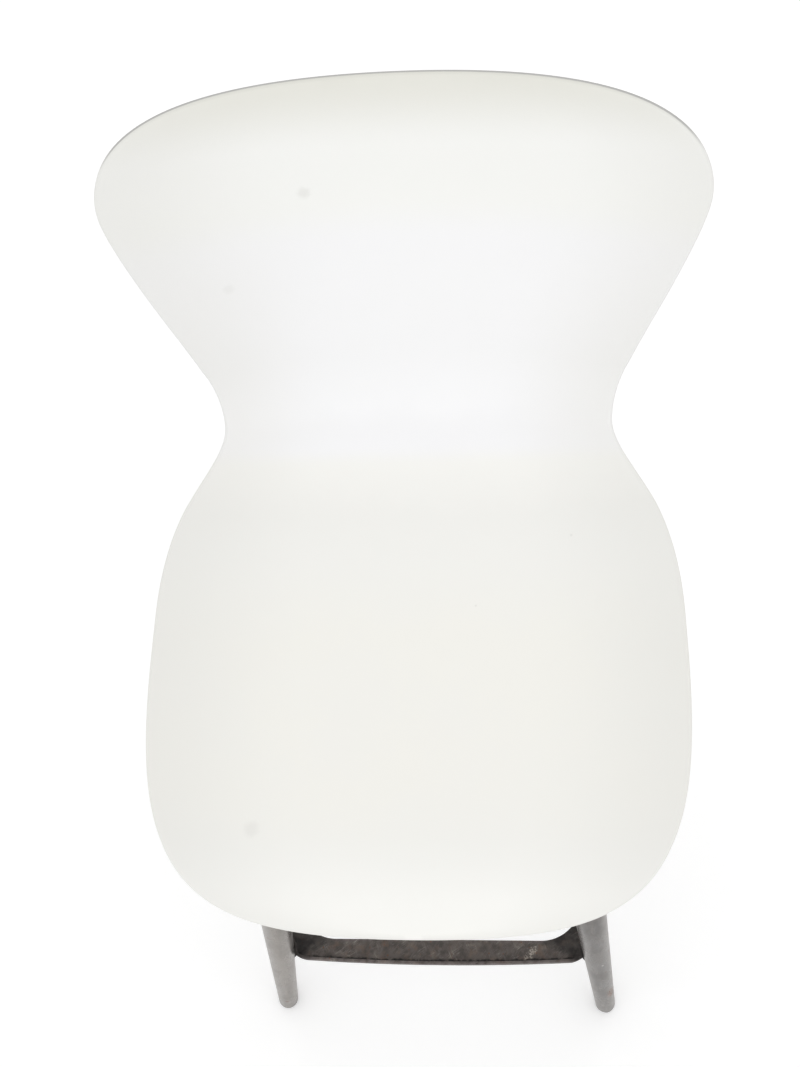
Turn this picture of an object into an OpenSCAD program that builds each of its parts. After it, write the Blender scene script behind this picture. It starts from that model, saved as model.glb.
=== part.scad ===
// Bar stool: one-piece moulded hourglass shell on four tapered tube legs with a ring footrest.
// The origin is on the floor, at the centre of the stool's outline seen from above.
// +X is to the right seen from the front, +Y points to the back and +Z is up.

/* [Shell outline] */
// Width of the shell where the seat is widest
seat_w = 488; // [440:1:520]
// Width of the shell at its waist
waist_w = 372; // [320:1:420]
// Width of the shell where the back is widest
back_w = 493; // [440:1:520]
// Distance along the shell from its front edge to the widest part of the seat
seat_at = 287; // [250:1:320]
// Distance along the shell from its front edge to the waist
waist_at = 495; // [470:1:520]
// Distance along the shell from its front edge to the widest part of the back
back_at = 759; // [735:1:780]
// How far the front edge stays straight before its corners turn
front_edge_fullness = 0.91; // [0.7:0.01:0.95]
// How far the seat's sides stay straight in front of its widest part
seat_front_fullness = 0.77; // [0.6:0.01:0.85]
// How far the seat's sides stay straight behind its widest part
seat_rear_fullness = 0.61; // [0.4:0.01:0.7]
// How far the waist stays straight in front of its narrowest part
waist_front_fullness = 0.24; // [0.15:0.01:0.4]
// How far the waist stays straight behind its narrowest part
waist_rear_fullness = 0.28; // [0.15:0.01:0.4]
// How far the back's sides stay straight below its widest part
back_low_fullness = 0.15; // [0.1:0.01:0.35]
// How far the back's sides stay straight above its widest part
back_high_fullness = 0.59; // [0.45:0.01:0.75]
// How far the top edge stays straight before its corners turn
top_edge_fullness = 0.81; // [0.65:0.01:0.9]

/* [Shell profile] */
// Height of the crest behind the seat's front edge
seat_height = 746; // [720:1:790]
// Distance of the front edge ahead of the middle of the legs
front_reach = 236; // [215:1:250]
// Wall thickness of the moulded shell
shell_t = 6; // [4:0.5:8]
// Length of the curved front lip along the shell
lip_len = 80; // [60:1:100]
// Length of the seat along the shell
seat_len = 315; // [300:1:330]
// Length of the bend between seat and back along the shell
bend_len = 178; // [150:1:200]
// Length of the straight part of the back along the shell
back_len = 212; // [190:1:230]
// Length of the rolled top along the shell
roll_len = 65; // [50:1:80]
// Steepness of the front lip at its edge, in degrees
lip_angle = 37; // [25:0.5:45]
// Fall of the seat behind the crest, in degrees
seat_fall = 2; // [1:0.1:4]
// Steepness of the back above the bend, in degrees
back_angle = 79; // [72:0.5:84]
// Turn of the rolled top backwards, in degrees
roll_turn = 20; // [10:0.5:30]

/* [Shell dish] */
// Half width at which the four dish depths are reached
dish_half_w = 240; // [220:1:260]
// Rise of the shell's sides over its middle at the front edge
front_dish = 8; // [4:0.5:12]
// Rise of the shell's sides over its middle in the seat
seat_dish = 12; // [8:0.5:18]
// Reach of the back's wings ahead of its middle
back_dish = 43; // [30:0.5:50]
// Reach of the sides ahead of the middle at the top edge
top_dish = 29; // [20:0.5:36]
// Distance along the shell to the deepest part of the seat
seat_dish_at = 255; // [230:1:280]
// Distance along the shell to the deepest part of the back
back_dish_at = 637; // [600:1:660]

/* [Legs] */
// Distance of each foot from the middle, sideways
leg_foot_x = 219; // [205:1:235]
// Distance of each foot from the middle, front to back
leg_foot_y = 222; // [208:1:238]
// Inward lean of the legs, sideways, in degrees
splay_x = 6.4; // [5:0.1:7]
// Inward lean of the legs, front to back, in degrees
splay_y = 6.8; // [5:0.1:7]
// Diameter of a leg at the floor
leg_foot_d = 26.5; // [25:0.5:30]
// Diameter of a leg at its top
leg_top_d = 40; // [38:0.5:42]
// Wall thickness of the leg tube
leg_wall = 2; // [1.5:0.1:2.5]
// Rounding of the leg's lower end
leg_end_r = 1.6; // [1:0.1:2]
// Height of the leg's lower end over the floor, along the leg
leg_end_gap = 5; // [4:0.5:8]
// Depth of the glide's plug inside the leg
glide_plug_len = 22; // [16:1:30]
// How far the glide's edge stays inside the leg's surface
glide_inset = 1.5; // [1:0.1:3]

/* [Footrest] */
// Height of the footrest's tread over the floor
footrest_z = 260; // [235:1:300]
// Thickness of the footrest plate
tread_t = 4; // [3:0.5:6]
// Width of each footrest bar at its ends
tread_end_w = 25; // [22:0.5:28]
// Outward bow of each bar at its middle
tread_bow = 4; // [1:0.5:8]
// Distance from a leg's centre line out to the ends of the bar's outer edge
tread_overhang = 9; // [7:0.5:11]
// Radius of the shoulders beside each leg
shoulder_r = 30; // [26:0.5:34]
// How far the shoulders' rounds would run into the leg but for its notch
shoulder_bite = 6; // [4:0.5:7]
// Radius of the inner corners of the ring
inner_corner_r = 50; // [40:1:60]
// Width of the raised lip on the ring's outer edge
lip_w = 3.5; // [2.5:0.5:5]
// Height of the raised lip over the tread
lip_h = 7; // [4:0.5:10]
// Thickness of the tabs under the ring
tab_t = 4; // [3:0.5:5]
// Width of the tabs under the ring
tab_w = 26; // [22:1:28]
// Distance from the tread's underside down to the tab's screw
tab_drop = 17; // [15:0.5:20]
// Thickness of the saddle between leg and tab
saddle_t = 6; // [5:0.5:7]

/* [Under-seat frame] */
// Drop from the seat's crest to the top of the frame plate
frame_drop = 22; // [19:0.5:27]
// Thickness of the frame plate
frame_t = 5; // [4:0.5:6]
// Width of the frame ring from outside to outside
frame_w = 256; // [250:1:262]
// Width of each bar of the frame ring
frame_bar_w = 40; // [36:1:44]
// Rounding of the frame ring's corners
frame_corner_r = 18; // [10:1:24]
// Depth of the frame's turned-down inner edge
frame_edge_h = 16; // [10:1:22]
// Diameter of the frame's pads on the leg tops
pad_d = 52; // [48:1:56]
// Sideways distance of the shell screws from the middle
screw_x = 60; // [50:1:70]
// Diameter of the rubber mounts
mount_d = 36; // [30:1:38]

/* [Fasteners] */
// Thread diameter of the leg bolts
leg_bolt_d = 10; // [8:1:10]
// Width of the leg bolt's hexagon head across its flats
leg_bolt_flats = 17; // [15:0.5:18]
// Height of the leg bolt's head
leg_bolt_head_h = 6.4; // [5:0.1:8]
// Depth of the bolt in the leg's bush
leg_bolt_grip = 22; // [16:1:26]
// Length of the bush inside the leg
bush_len = 28; // [26:1:34]
// Thickness of the bush's collar
bush_collar_t = 3; // [2:0.5:4]
// Diameter of the leg bolt's lock washer
lock_washer_d = 18; // [16:0.5:20]
// Thickness of the leg bolt's lock washer
lock_washer_t = 2.2; // [1.8:0.1:2.6]
// Width of the lock washer's slit
lock_slit = 1.5; // [1:0.1:2.5]
// Thread diameter of the shell screws
shell_screw_d = 6; // [5:1:6]
// Diameter of the shell screw's head
shell_head_d = 12; // [10:0.5:13]
// Height of the shell screw's head
shell_head_h = 3.6; // [3:0.1:5]
// Depth of the shell screw in its insert
shell_screw_grip = 8; // [6:0.5:9]
// Length of the threaded insert in each rubber mount
insert_len = 10; // [9.5:0.5:11]
// Wall thickness of the insert
insert_wall = 2; // [1.5:0.1:3]
// Thread diameter of the footrest screws
foot_screw_d = 8; // [6:1:8]
// Diameter of the footrest screw's head
foot_head_d = 14.4; // [13:0.1:16]
// Height of the footrest screw's head
foot_head_h = 4.4; // [3.5:0.1:6]
// Wall thickness of the rivet nut
rivet_wall = 1.5; // [1.2:0.1:2]
// Width of the rivet nut's flange beyond its body
rivet_flange_w = 2; // [1.5:0.1:2.2]
// Thickness of the rivet nut's flange
rivet_flange_t = 1.2; // [0.8:0.1:1.5]
// Thickness of the plain washers
washer_t = 1.6; // [1.2:0.1:2]
// Diameter of the shell screws' washers
shell_washer_d = 15.6; // [13:0.1:18]
// Diameter of the footrest screws' washers
foot_washer_d = 16.8; // [15:0.1:20]

/* [Clearances] */
// Gap between curved faces that seat on each other
seat_gap = 0.3; // [0.2:0.05:0.4]
// Radial gap between a thread and its nut
thread_gap = 0.05; // [0.05:0.05:0.1]
// Radial gap between a screw and its clearance hole
hole_gap = 0.4; // [0.3:0.05:0.6]

/* [Hidden] */
$fn = 64;

shell_color = "white";
leg_color = "darkgray";
tread_color = "dimgray";
steel_color = "silver";
brass_color = "goldenrod";
rubber_color = "black";

// Half the size of the blocks that cut at a plane
far = 400;

// Shell: the rim is a half round on the wall, so its centre line lies edge_r inside the outline
edge_r = shell_t / 2;
shell_len = lip_len + seat_len + bend_len + back_len + roll_len;
stretches = [[lip_len, -lip_angle - seat_fall], [seat_len, seat_fall], [bend_len, back_angle],
    [back_len, 0], [roll_len, -roll_turn]];
lip_radius = lip_len / ((lip_angle + seat_fall) * PI / 180);
front_edge_z = seat_height - lip_radius * (1 - cos(lip_angle));
// Faces across the shell, along it, and round its rim
cols = 36;
rows = 48;
rim_steps = 4;
// Share of the shell's half length at which the end faces meet the edge
last_row = 0.99999;

// Legs: the lean is one tilt in the upright plane through the leg's own heading
frame_top_z = seat_height - frame_drop;
leg_tilt = atan(sqrt(pow(tan(splay_x), 2) + pow(tan(splay_y), 2)));
leg_heading = atan2(tan(splay_y), tan(splay_x));
pad_t = frame_t;
pad_axis_z = frame_top_z / cos(leg_tilt) + pad_d / 2 * tan(leg_tilt) / 2;
leg_len = pad_axis_z - pad_t - bush_collar_t;
bore_top_r = leg_top_d / 2 - leg_wall;
// Turn of a round piece about the leg's line that keeps its seam off the level planes' lowest point
seam_turn = 45;

// Footrest: the bars follow the leg centre lines at the tread's height
lip_top_z = footrest_z + lip_h;
notch_r = leg_r(lip_top_z / cos(leg_tilt)) / cos(leg_tilt) + seat_gap;
end_x = leg_x(footrest_z) + tread_overhang;
end_y = leg_y(footrest_z) + tread_overhang;
tab_z = (footrest_z - tread_t) / cos(leg_tilt) - tab_drop;
tab_face = leg_r(tab_z) + saddle_t;

// Frame
frame_half = frame_w / 2;
screw_y = frame_half - frame_bar_w / 2;

// Fasteners: the crown and socket of a round head as shares of its width, height and thread
crown_w = 0.82;
crown_h = 0.35;
socket_w = 0.75;
socket_depth = 0.6;
hex_crown_w = 0.9;
insert_d = shell_screw_d + 2 * insert_wall;
rivet_d = foot_screw_d + 2 * rivet_wall;
flange_d = rivet_d + 2 * rivet_flange_w;
// Distances from the leg's middle to the inner ends of the rivet nut and of its screw
rivet_end = 4;
foot_screw_end = 6;
// Room round and over the rivet nut's flange in its saddle
flange_room = 0.5;
// Step of the saddle inside the tab's outline
saddle_step = 1;

// Glides: number and height of the barbs on each plug
barbs = 3;
barb_h = 1.2;

// Middle of the outline, front to back, which is moved onto the origin
front_y = min(station(edge_r)[0] - edge_r, -leg_foot_y - leg_foot_d / 2);
rear_y = station(shell_len - edge_r)[0] + edge_r;
middle_y = (front_y + rear_y) / 2;

// Leg centre line and radius at a height, or at a distance along the leg
function leg_x(z) = leg_foot_x - z * tan(splay_x);
function leg_y(z) = leg_foot_y - z * tan(splay_y);
function leg_r(along) = (leg_foot_d + (leg_top_d - leg_foot_d) * along / leg_len) / 2;

// Smooth step from 0 to 1
function ease(t) = let (u = min(max(t, 0), 1)) u * u * (3 - 2 * u);

// Point and heading of the shell's middle line after a distance along it, from tangent arcs
function station(along, i = 0, y = -front_reach, z = front_edge_z, heading = lip_angle) =
    let (
        len = stretches[i][0],
        turn = stretches[i][1],
        last = i == len(stretches) - 1,
        step = (along > len && !last) ? len : along,
        end = heading + turn * step / len,
        radius = turn == 0 ? 0 : len / (turn * PI / 180),
        dy = turn == 0 ? step * cos(heading) : radius * (sin(end) - sin(heading)),
        dz = turn == 0 ? step * sin(heading) : radius * (cos(heading) - cos(end))
    )
    (along > len && !last) ? station(along - len, i + 1, y + dy, z + dz, end) : [y + dy, z + dz, end];

// Depth of the shell's cross curve at a distance along it
function dish(along) = front_dish
    + (seat_dish - front_dish) * ease(along / seat_dish_at)
    + (back_dish - seat_dish) * ease((along - seat_dish_at) / (back_dish_at - seat_dish_at))
    + (top_dish - back_dish) * ease((along - back_dish_at) / (shell_len - back_dish_at));

// Middle surface of the wall and its normal, which points to the sitter
function mid(x, along) =
    let (at = station(along), rise = dish(along) * pow(x / dish_half_w, 2))
    [x, at[0] - rise * sin(at[2]), at[1] + rise * cos(at[2])];
function unit(v) = v / norm(v);
function normal(x, along, h = 0.5) =
    unit(cross(mid(x + h, along) - mid(x - h, along), mid(x, along + h) - mid(x, along - h)));

// Outline of the flat shell: four cubic curves from the front edge to the top edge
outline = [
    outline_curve([edge_r, 0], [seat_at, seat_w / 2 - edge_r],
        front_edge_fullness, seat_front_fullness, true),
    outline_curve([seat_at, seat_w / 2 - edge_r], [waist_at, waist_w / 2 - edge_r],
        seat_rear_fullness, waist_front_fullness),
    outline_curve([waist_at, waist_w / 2 - edge_r], [back_at, back_w / 2 - edge_r],
        waist_rear_fullness, back_low_fullness),
    outline_curve([back_at, back_w / 2 - edge_r], [shell_len - edge_r, 0],
        back_high_fullness, top_edge_fullness, false, true)
];

// One curve as its four distances along the shell and its four half widths
function outline_curve(from, to, start_full, end_full, from_edge = false, to_edge = false) = [
    [from[0], from[0] + (from_edge ? 0 : start_full * (to[0] - from[0])),
        to[0] - (to_edge ? 0 : end_full * (to[0] - from[0])), to[0]],
    [from[1], from[1] + (from_edge ? start_full * (to[1] - from[1]) : 0),
        to[1] + (to_edge ? end_full * (from[1] - to[1]) : 0), to[1]]
];
function cubic(p, u) = p[0] * pow(1 - u, 3) + 3 * p[1] * u * pow(1 - u, 2)
    + 3 * p[2] * u * u * (1 - u) + p[3] * pow(u, 3);
function solve_cubic(p, value, low = 0, high = 1, turns = 22) =
    let (u = (low + high) / 2)
    turns == 0 ? u
    : cubic(p, u) < value ? solve_cubic(p, value, u, high, turns - 1)
    : solve_cubic(p, value, low, u, turns - 1);
function half_width(along) =
    let (i = along < seat_at ? 0 : along < waist_at ? 1 : along < back_at ? 2 : 3)
    cubic(outline[i][1], solve_cubic(outline[i][0], along));

// A square grid laid over a disc, then stretched to the outline, gives even faces to the very edge
function grid_point(i, j) =
    let (
        a = 2 * i / cols - 1,
        b = 2 * j / rows - 1,
        p = a * sqrt(1 - b * b / 2),
        q = b * sqrt(1 - a * a / 2),
        inner = min(max(q, -last_row), last_row),
        along = edge_r + (inner + 1) / 2 * (shell_len - 2 * edge_r)
    )
    [p * half_width(along) / sqrt(1 - inner * inner), along];

// Point under the shell at a place seen from above, found along the seat, with the normal there
function under(x, along) = mid(x, along) - edge_r * normal(x, along);
function find_under(x, y, low, high, turns = 22) =
    let (along = (low + high) / 2)
    turns == 0 ? [under(x, along), normal(x, along)]
    : under(x, along)[1] < y ? find_under(x, y, along, high, turns - 1)
    : find_under(x, y, low, along, turns - 1);

module placed() {
    translate([0, -middle_y, 0])
        children();
}

module on_corner(right, rear) {
    mirror([right, 0, 0])
        mirror([0, rear, 0])
            children();
}

module on_corners() {
    for (right = [0, 1], rear = [0, 1])
        on_corner(right, rear)
            children();
}

// Frame of the front left leg: z runs up the leg from the floor and x points in to the middle
module along_leg() {
    translate([-leg_foot_x, -leg_foot_y, 0])
        rotate([0, leg_tilt, leg_heading])
            children();
}

// Axis of a footrest screw: z runs from the leg's middle in through the tab
module along_tab() {
    along_leg()
        translate([0, 0, tab_z])
            rotate([0, 90, 0])
                children();
}

module below_floor() {
    translate([-far, -far, -far])
        cube([2 * far, 2 * far, far]);
}

module washer(bore_d, outer_d, t) {
    difference() {
        cylinder(d = outer_d, h = t);
        translate([0, 0, -1])
            cylinder(d = bore_d, h = t + 2);
    }
}

// Round head with a hexagon socket on a plain shank, with the head's seat at zero
module socket_screw(d, grip, head_d, head_h) {
    difference() {
        union() {
            cylinder(d1 = head_d * crown_w, d2 = head_d, h = head_h * crown_h);
            translate([0, 0, head_h * crown_h])
                cylinder(d = head_d, h = head_h * (1 - crown_h));
            translate([0, 0, head_h])
                cylinder(d = d, h = grip);
        }
        translate([0, 0, -1])
            cylinder(d = d * socket_w, h = head_h * socket_depth + 1, $fn = 6);
    }
}

module rounded_plate(half_x, half_y, r) {
    square([2 * (half_x - r), 2 * half_y], center = true);
    square([2 * half_x, 2 * (half_y - r)], center = true);
    for (x = [r - half_x, half_x - r], y = [r - half_y, half_y - r])
        translate([x, y])
            circle(r = r);
}

// One-piece moulded shell
module seat_shell() {
    n = cols + 1;
    grid = [for (j = [0:rows], i = [0:cols]) grid_point(i, j)];
    mids = [for (g = grid) mid(g[0], g[1])];
    normals = [for (g = grid) normal(g[0], g[1])];
    edge = concat([for (i = [0:cols - 1]) i], [for (j = [0:rows - 1]) j * n + cols],
        [for (i = [cols:-1:1]) rows * n + i], [for (j = [rows:-1:1]) j * n]);
    edges = len(edge);
    outward = [for (k = [0:edges - 1])
        let (run = mids[edge[(k + 1) % edges]] - mids[edge[(k + edges - 1) % edges]])
        unit(cross(run, normals[edge[k]]))];
    top = [for (k = [0:len(grid) - 1]) mids[k] + edge_r * normals[k]];
    bottom = [for (k = [0:len(grid) - 1]) mids[k] - edge_r * normals[k]];
    rim = [for (m = [1:rim_steps - 1], k = [0:edges - 1])
        let (turn = 90 - 180 * m / rim_steps)
        mids[edge[k]] + edge_r * (cos(turn) * outward[k] + sin(turn) * normals[edge[k]])];
    count = len(grid);
    function ring(m, k) = m == 0 ? edge[k % edges]
        : m == rim_steps ? count + edge[k % edges]
        : 2 * count + (m - 1) * edges + k % edges;
    faces = [
        for (j = [0:rows - 1], i = [0:cols - 1])
            let (c = j * n + i)
            each [[c, c + n, c + n + 1], [c, c + n + 1, c + 1],
                [count + c, count + c + n + 1, count + c + n], [count + c, count + c + 1, count + c + n + 1]],
        for (m = [0:rim_steps - 1], k = [0:edges - 1])
            each [[ring(m, k), ring(m, k + 1), ring(m + 1, k + 1)],
                [ring(m, k), ring(m + 1, k + 1), ring(m + 1, k)]]
    ];
    placed()
        color(shell_color)
            polyhedron(points = concat(top, bottom, rim), faces = faces);
}

module on_mounts() {
    for (x = [-screw_x, screw_x], y = [-screw_y, screw_y])
        translate([x, y, 0])
            children();
}

// Rubber mounts, each cut to the slope of the shell over it
module shock_mounts() {
    placed()
        color(rubber_color)
            for (x = [-screw_x, screw_x], y = [-screw_y, screw_y])
                shock_mount(x, y);
}

module shock_mount(x, y) {
    seat = find_under(x, y, 0, lip_len + seat_len + bend_len / 2);
    n = seat[1];
    difference() {
        translate([x, y, frame_top_z])
            cylinder(d = mount_d, h = mount_d + frame_drop);
        translate([x, y, frame_top_z - 1])
            cylinder(d = insert_d + 2 * seat_gap, h = insert_len + seat_gap + 1);
        translate(seat[0] - seat_gap * n)
            rotate([0, acos(n[2]), atan2(n[1], n[0])])
                translate([-mount_d, -mount_d, 0])
                    cube([2 * mount_d, 2 * mount_d, far]);
    }
}

module mount_inserts() {
    placed()
        color(brass_color)
            on_mounts()
                translate([0, 0, frame_top_z])
                    washer(shell_screw_d + 2 * thread_gap, insert_d, insert_len);
}

module shell_washers() {
    placed()
        color(steel_color)
            on_mounts()
                translate([0, 0, frame_top_z - frame_t - washer_t])
                    washer(shell_screw_d + 2 * hole_gap, shell_washer_d, washer_t);
}

module shell_screws() {
    placed()
        color(steel_color)
            on_mounts()
                translate([0, 0, frame_top_z - frame_t - washer_t - shell_head_h])
                    socket_screw(shell_screw_d, washer_t + frame_t + shell_screw_grip,
                        shell_head_d, shell_head_h);
}

// Pressed frame: a ring with a turned-down inner edge and a sloped pad on each leg
module seat_frame() {
    inner_half = frame_half - frame_bar_w;
    edge_half = inner_half + frame_t;
    placed()
        color(tread_color)
            difference() {
                union() {
                    translate([0, 0, frame_top_z - frame_t])
                        linear_extrude(frame_t)
                            difference() {
                                rounded_plate(frame_half, frame_half, frame_corner_r);
                                rounded_plate(inner_half, inner_half, frame_corner_r);
                            }
                    translate([0, 0, frame_top_z - frame_t - frame_edge_h])
                        linear_extrude(frame_edge_h + 1)
                            difference() {
                                rounded_plate(edge_half, edge_half, frame_corner_r + frame_t);
                                rounded_plate(inner_half, inner_half, frame_corner_r);
                            }
                    on_corners()
                        along_leg()
                            translate([0, 0, pad_axis_z - pad_t])
                                rotate([0, 0, seam_turn])
                                    cylinder(d = pad_d, h = pad_t);
                }
                on_corners()
                    along_leg() {
                        translate([0, 0, pad_axis_z - pad_t - frame_edge_h])
                            cylinder(d = leg_top_d + 4 * seat_gap, h = frame_edge_h);
                        translate([0, 0, pad_axis_z - pad_t - 1])
                            cylinder(d = leg_bolt_d + 2 * hole_gap, h = pad_t + 2);
                    }
                on_mounts()
                    translate([0, 0, frame_top_z - frame_t - 1])
                        cylinder(d = shell_screw_d + 2 * hole_gap, h = frame_t + 2);
            }
}

// Tapered leg tube with a rounded lower end and the hole for its rivet nut
module leg_tube(right, rear) {
    end_r = leg_r(leg_end_gap);
    round_end = [for (t = [0:15:90])
        [end_r - leg_end_r * (1 - cos(t)), leg_end_gap + leg_end_r * (1 - sin(t))]];
    placed()
        color(leg_color)
            on_corner(right, rear)
                difference() {
                    along_leg()
                        rotate_extrude()
                            polygon(concat([[leg_top_d / 2, leg_len]], round_end,
                                [[end_r - leg_wall, leg_end_gap], [bore_top_r, leg_len]]));
                    along_tab()
                        cylinder(d = rivet_d + 2 * seat_gap, h = leg_top_d);
                }
}

module leg_front_left() leg_tube(0, 0);
module leg_front_right() leg_tube(1, 0);
module leg_rear_left() leg_tube(0, 1);
module leg_rear_right() leg_tube(1, 1);

// Threaded bushes that close the leg tops
module leg_bushes() {
    plug_r = leg_r(leg_len - bush_len) - leg_wall - seat_gap;
    placed()
        color(steel_color)
            on_corners()
                along_leg()
                    difference() {
                        union() {
                            translate([0, 0, leg_len - bush_len])
                                cylinder(r = plug_r, h = bush_len + 1);
                            translate([0, 0, leg_len])
                                cylinder(d = leg_top_d, h = bush_collar_t);
                        }
                        translate([0, 0, leg_len - bush_len - 1])
                            cylinder(d = leg_bolt_d + 2 * thread_gap, h = bush_len + bush_collar_t + 2);
                    }
}

// Split washers under the leg bolts' heads
module leg_lock_washers() {
    placed()
        color(steel_color)
            on_corners()
                along_leg()
                    translate([0, 0, pad_axis_z])
                        difference() {
                            washer(leg_bolt_d + 2 * hole_gap, lock_washer_d, lock_washer_t);
                            translate([-lock_washer_d, -lock_slit / 2, -1])
                                cube([lock_washer_d, lock_slit, lock_washer_t + 2]);
                        }
}

module leg_bolts() {
    head_d = leg_bolt_flats / cos(30);
    placed()
        color(steel_color)
            on_corners()
                along_leg()
                    translate([0, 0, pad_axis_z + lock_washer_t]) {
                        intersection() {
                            cylinder(d = head_d, h = leg_bolt_head_h, $fn = 6);
                            cylinder(d1 = head_d + 2 * leg_bolt_head_h, d2 = head_d * hex_crown_w,
                                h = leg_bolt_head_h);
                        }
                        translate([0, 0, -lock_washer_t - pad_t - leg_bolt_grip])
                            cylinder(d = leg_bolt_d, h = lock_washer_t + pad_t + leg_bolt_grip + 1);
                    }
}

// Outer outline of the footrest, drawn in by an inset: bowed bars whose round shoulders end at a
// notch that just clears each leg at the top of the lip
module footrest_outline(inset = 0) {
    shoulder_x = shoulder(leg_x(lip_top_z), leg_y(lip_top_z) - end_y + shoulder_r);
    shoulder_y = shoulder(leg_y(lip_top_z), leg_x(lip_top_z) - end_x + shoulder_r);
    difference() {
        intersection() {
            bowed_band(end_y, shoulder_x, inset);
            rotate([0, 0, 90])
                bowed_band(end_x, shoulder_y, inset);
            union() {
                square([2 * shoulder_x, 2 * far], center = true);
                square([2 * far, 2 * shoulder_y], center = true);
                square([2 * (end_x - shoulder_r), 2 * (end_y - shoulder_r)], center = true);
                for (x = [-1, 1], y = [-1, 1]) {
                    translate([x * shoulder_x, y * (end_y - shoulder_r)])
                        circle(r = shoulder_r - inset);
                    translate([x * (end_x - shoulder_r), y * shoulder_y])
                        circle(r = shoulder_r - inset);
                }
            }
        }
        for (x = [-1, 1], y = [-1, 1])
            translate([x * leg_x(lip_top_z), y * leg_y(lip_top_z)])
                circle(r = notch_r + inset);
    }
}

// Place of a shoulder's centre along its bar, from the leg's place and the distance across
function shoulder(leg_at, across) =
    let (reach = shoulder_r + notch_r - shoulder_bite)
    leg_at - sqrt(reach * reach - across * across);

// The space between two bars' outer edges, each bowed outwards
module bowed_band(end, half_len, inset) {
    bow_r = (half_len * half_len + tread_bow * tread_bow) / (2 * tread_bow);
    intersection_for (side = [-1, 1])
        translate([0, side * (end + tread_bow - bow_r)])
            circle(r = bow_r - inset, $fn = 2000);
}

// Ring footrest: a flat tread with a raised outer lip and a screw tab at each leg
module footrest_ring() {
    inner_x = end_x - tread_end_w;
    inner_y = end_y - tread_end_w;
    placed()
        color(tread_color) {
            translate([0, 0, footrest_z - tread_t])
                linear_extrude(tread_t)
                    difference() {
                        footrest_outline();
                        rounded_plate(inner_x, inner_y, inner_corner_r);
                    }
            translate([0, 0, footrest_z - 1])
                linear_extrude(lip_h + 1)
                    difference() {
                        footrest_outline();
                        footrest_outline(lip_w);
                    }
            on_corners()
                footrest_tab();
        }
}

module footrest_tab() {
    difference() {
        along_tab()
            translate([0, 0, tab_face])
                difference() {
                    union() {
                        cylinder(d = tab_w, h = tab_t);
                        translate([-tab_w - tab_drop, -tab_w / 2, 0])
                            cube([tab_w + tab_drop, tab_w, tab_t]);
                    }
                    translate([0, 0, -1])
                        cylinder(d = foot_screw_d + 2 * hole_gap, h = tab_t + 2);
                }
        translate([-far, -far, footrest_z - tread_t / 2])
            cube([2 * far, 2 * far, far]);
    }
}

// Saddles between leg and tab, hollowed to the leg and round the rivet nut's flange
module footrest_saddles() {
    pocket_h = leg_r(tab_z) + seat_gap / 2 + rivet_flange_t + flange_room;
    placed()
        color(rubber_color)
            on_corners()
                difference() {
                    along_tab()
                        difference() {
                            cylinder(d = tab_w - 2 * saddle_step, h = tab_face);
                            cylinder(d = flange_d + 2 * flange_room, h = pocket_h);
                            cylinder(d = foot_screw_d + 2 * hole_gap, h = tab_face + 1);
                        }
                    along_leg()
                        cylinder(r1 = leg_r(0) + seat_gap, r2 = leg_top_d / 2 + seat_gap, h = leg_len);
                }
}

module footrest_rivet_nuts() {
    flange_z = leg_r(tab_z) + seat_gap / 2;
    placed()
        color(steel_color)
            on_corners()
                along_tab()
                    difference() {
                        union() {
                            translate([0, 0, rivet_end])
                                cylinder(d = rivet_d, h = flange_z - rivet_end + rivet_flange_t / 2);
                            translate([0, 0, flange_z])
                                cylinder(d = flange_d, h = rivet_flange_t);
                        }
                        translate([0, 0, rivet_end - 1])
                            cylinder(d = foot_screw_d + 2 * thread_gap, h = flange_z);
                    }
}

module footrest_washers() {
    placed()
        color(steel_color)
            on_corners()
                along_tab()
                    translate([0, 0, tab_face + tab_t])
                        washer(foot_screw_d + 2 * hole_gap, foot_washer_d, washer_t);
}

module footrest_screws() {
    seat_z = tab_face + tab_t + washer_t;
    placed()
        color(steel_color)
            on_corners()
                along_tab()
                    translate([0, 0, seat_z + foot_head_h])
                        rotate([180, 0, 0])
                            socket_screw(foot_screw_d, seat_z - foot_screw_end, foot_head_d, foot_head_h);
}

// Nylon glide: a barbed plug in the leg and a pad cut flat on the floor
module glide(right, rear) {
    plug_r = leg_r(leg_end_gap) - leg_wall - seat_gap;
    pad_r = leg_r(leg_end_gap) - glide_inset;
    stem_r = plug_r - barb_h;
    pitch = glide_plug_len / (barbs + 1);
    plug_top = leg_end_gap + glide_plug_len;
    steps = [for (k = [1:barbs])
        let (top = leg_end_gap + pitch * k, base = top - pitch / 2)
        each [[stem_r, base], [plug_r, base], [stem_r, top]]];
    placed()
        color(rubber_color)
            on_corner(right, rear)
                difference() {
                    along_leg()
                        rotate([0, 0, seam_turn])
                            rotate_extrude()
                                polygon(concat([[0, -pad_r], [pad_r, -pad_r], [pad_r, leg_end_gap],
                                    [stem_r, leg_end_gap]], steps, [[stem_r, plug_top], [0, plug_top]]));
                    below_floor();
                }
}

module glide_front_left() glide(0, 0);
module glide_front_right() glide(1, 0);
module glide_rear_left() glide(0, 1);
module glide_rear_right() glide(1, 1);

seat_shell();
shock_mounts();
mount_inserts();
shell_screws();
shell_washers();
seat_frame();
leg_front_left();
leg_front_right();
leg_rear_left();
leg_rear_right();
leg_bushes();
leg_bolts();
leg_lock_washers();
footrest_ring();
footrest_saddles();
footrest_screws();
footrest_washers();
footrest_rivet_nuts();
glide_front_left();
glide_front_right();
glide_rear_left();
glide_rear_right();
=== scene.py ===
"""Looks of a moulded bar stool, built around its packed construction.

Everything is in metres, in the frame of the construction: x runs across the stool, y from the
front to the back, z up from the floor, with the origin under the middle of the outline.
"""

import logging
import math
from dataclasses import dataclass, field, fields
from enum import Enum
from typing import Any, Callable, Sequence

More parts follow.
